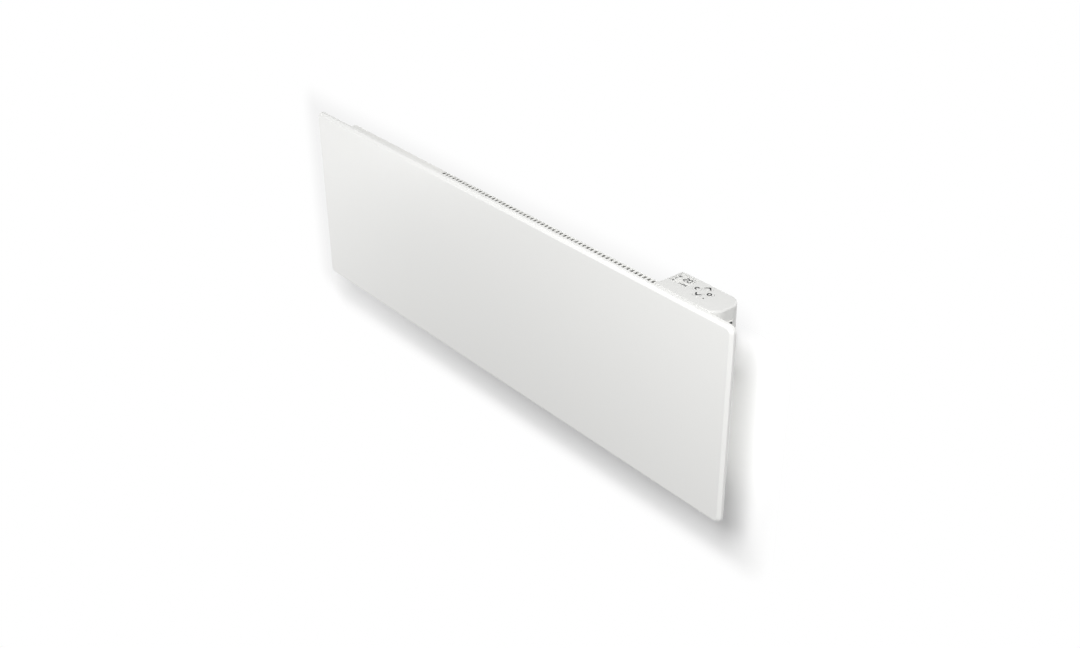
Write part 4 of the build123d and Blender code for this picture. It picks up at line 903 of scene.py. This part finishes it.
def backdrop_shape(drop):
    """A wall just behind the heater and a floor under it, joined by a quarter-round cove: a profile of
    (y, z) points carried along x. The floor reaches 3.5 m to the front, the wall 2.6 m up, and both 5 m to
    each side."""
    wall_y, radius, reach, top, half = 1.5 * MM, 0.35, 3.5, 2.6, 5.0
    turn = np.linspace(0, math.pi / 2, 13)
    cove = np.stack([wall_y - radius + radius * np.cos(turn), -drop + radius - radius * np.sin(turn)], 1)
    profile = np.concatenate([[[wall_y, top]], cove, [[-reach, -drop]]])
    rows = len(profile)
    points = np.column_stack([np.tile([half, -half], rows), np.repeat(profile, 2, axis=0)])
    return points, grid_quads(rows, 2).tolist()


def set_camera(scene, studio):
    """The photograph's camera: its place, turn and lens."""
    camera = bpy.data.cameras.new("camera")
    camera.sensor_width, camera.lens = 36.0, studio.lens
    camera.clip_start, camera.clip_end = 0.05, 50.0
    holder = bpy.data.objects.new("camera", camera)
    scene.collection.objects.link(holder)
    holder.matrix_world = camera_matrix()
    scene.camera = holder


def set_sky(scene, studio):
    """Even light from all round, which shows as pure white."""
    world = bpy.data.worlds.new("studio")
    scene.world = world
    world.use_nodes = True
    tree = world.node_tree
    tree.nodes.clear()
    light = add(tree, "Background", {"Color": linear("#FFFFFF"), "Strength": studio.sky}).outputs[0]
    white = add(tree, "Background", {"Color": linear("#FFFFFF"), "Strength": 1.0}).outputs[0]
    mixed = add(tree, "MixShader", {0: seen_rays(tree), 1: light, 2: white})
    add(tree, "OutputWorld", {"Surface": mixed.outputs[0]})


def set_backdrop(scene, studio):
    """The white wall and floor."""
    points, faces = backdrop_shape(studio.floor_drop)
    mesh = bpy.data.meshes.new("backdrop")
    mesh.from_pydata(points.tolist(), [], faces)
    mesh.shade_smooth()
    mesh.materials.append(backdrop_paint())
    backdrop = bpy.data.objects.new("backdrop", mesh)
    scene.collection.objects.link(backdrop)


class HEATER_OT_stage(bpy.types.Operator):
    """Set up the camera, the lamps, the sky and the white backdrop"""
    bl_idname = "heater.stage"
    bl_label = "Stage"

    def execute(self, context):
        scene, studio = context.scene, settings().studio
        set_camera(scene, studio)
        scene.view_settings.view_transform = "Standard"
        for lamp in LAMPS:
            softbox(*lamp)
        set_sky(scene, studio)
        set_backdrop(scene, studio)
        return {"FINISHED"}


# ---------------------------------------------------------------- panel in the sidebar, and the run
OPERATORS = (HEATER_OT_stage, HEATER_OT_front_panel, HEATER_OT_casing, HEATER_OT_element, HEATER_OT_wiring,
             HEATER_OT_control_box, HEATER_OT_boards, HEATER_OT_keys, HEATER_OT_display, HEATER_OT_bracket)


class HEATER_PT_sidebar(bpy.types.Panel):
    """The heater's steps, in the 3D view's sidebar"""
    bl_label = "Wall panel convector heater"
    bl_space_type = "VIEW_3D"
    bl_region_type = "UI"
    bl_category = "Heater"

    def draw(self, context):
        for operator in OPERATORS:
            self.layout.operator(operator.bl_idname)


CLASSES = (HeaterColours, HeaterSizes, HeaterStudio, HeaterSettings, *OPERATORS, HEATER_PT_sidebar)


def register():
    """Make the classes and the heater's settings known to Blender."""
    for item in CLASSES:
        bpy.utils.register_class(item)
    bpy.types.Scene.heater = PointerProperty(type=HeaterSettings)


def unregister():
    """Take the settings and the classes away again."""
    del bpy.types.Scene.heater
    for item in reversed(CLASSES):
        bpy.utils.unregister_class(item)


def main():
    register()
    for operator in OPERATORS:
        group, name = operator.bl_idname.split(".")
        getattr(getattr(bpy.ops, group), name)()


if __name__ == "__main__":
    main()
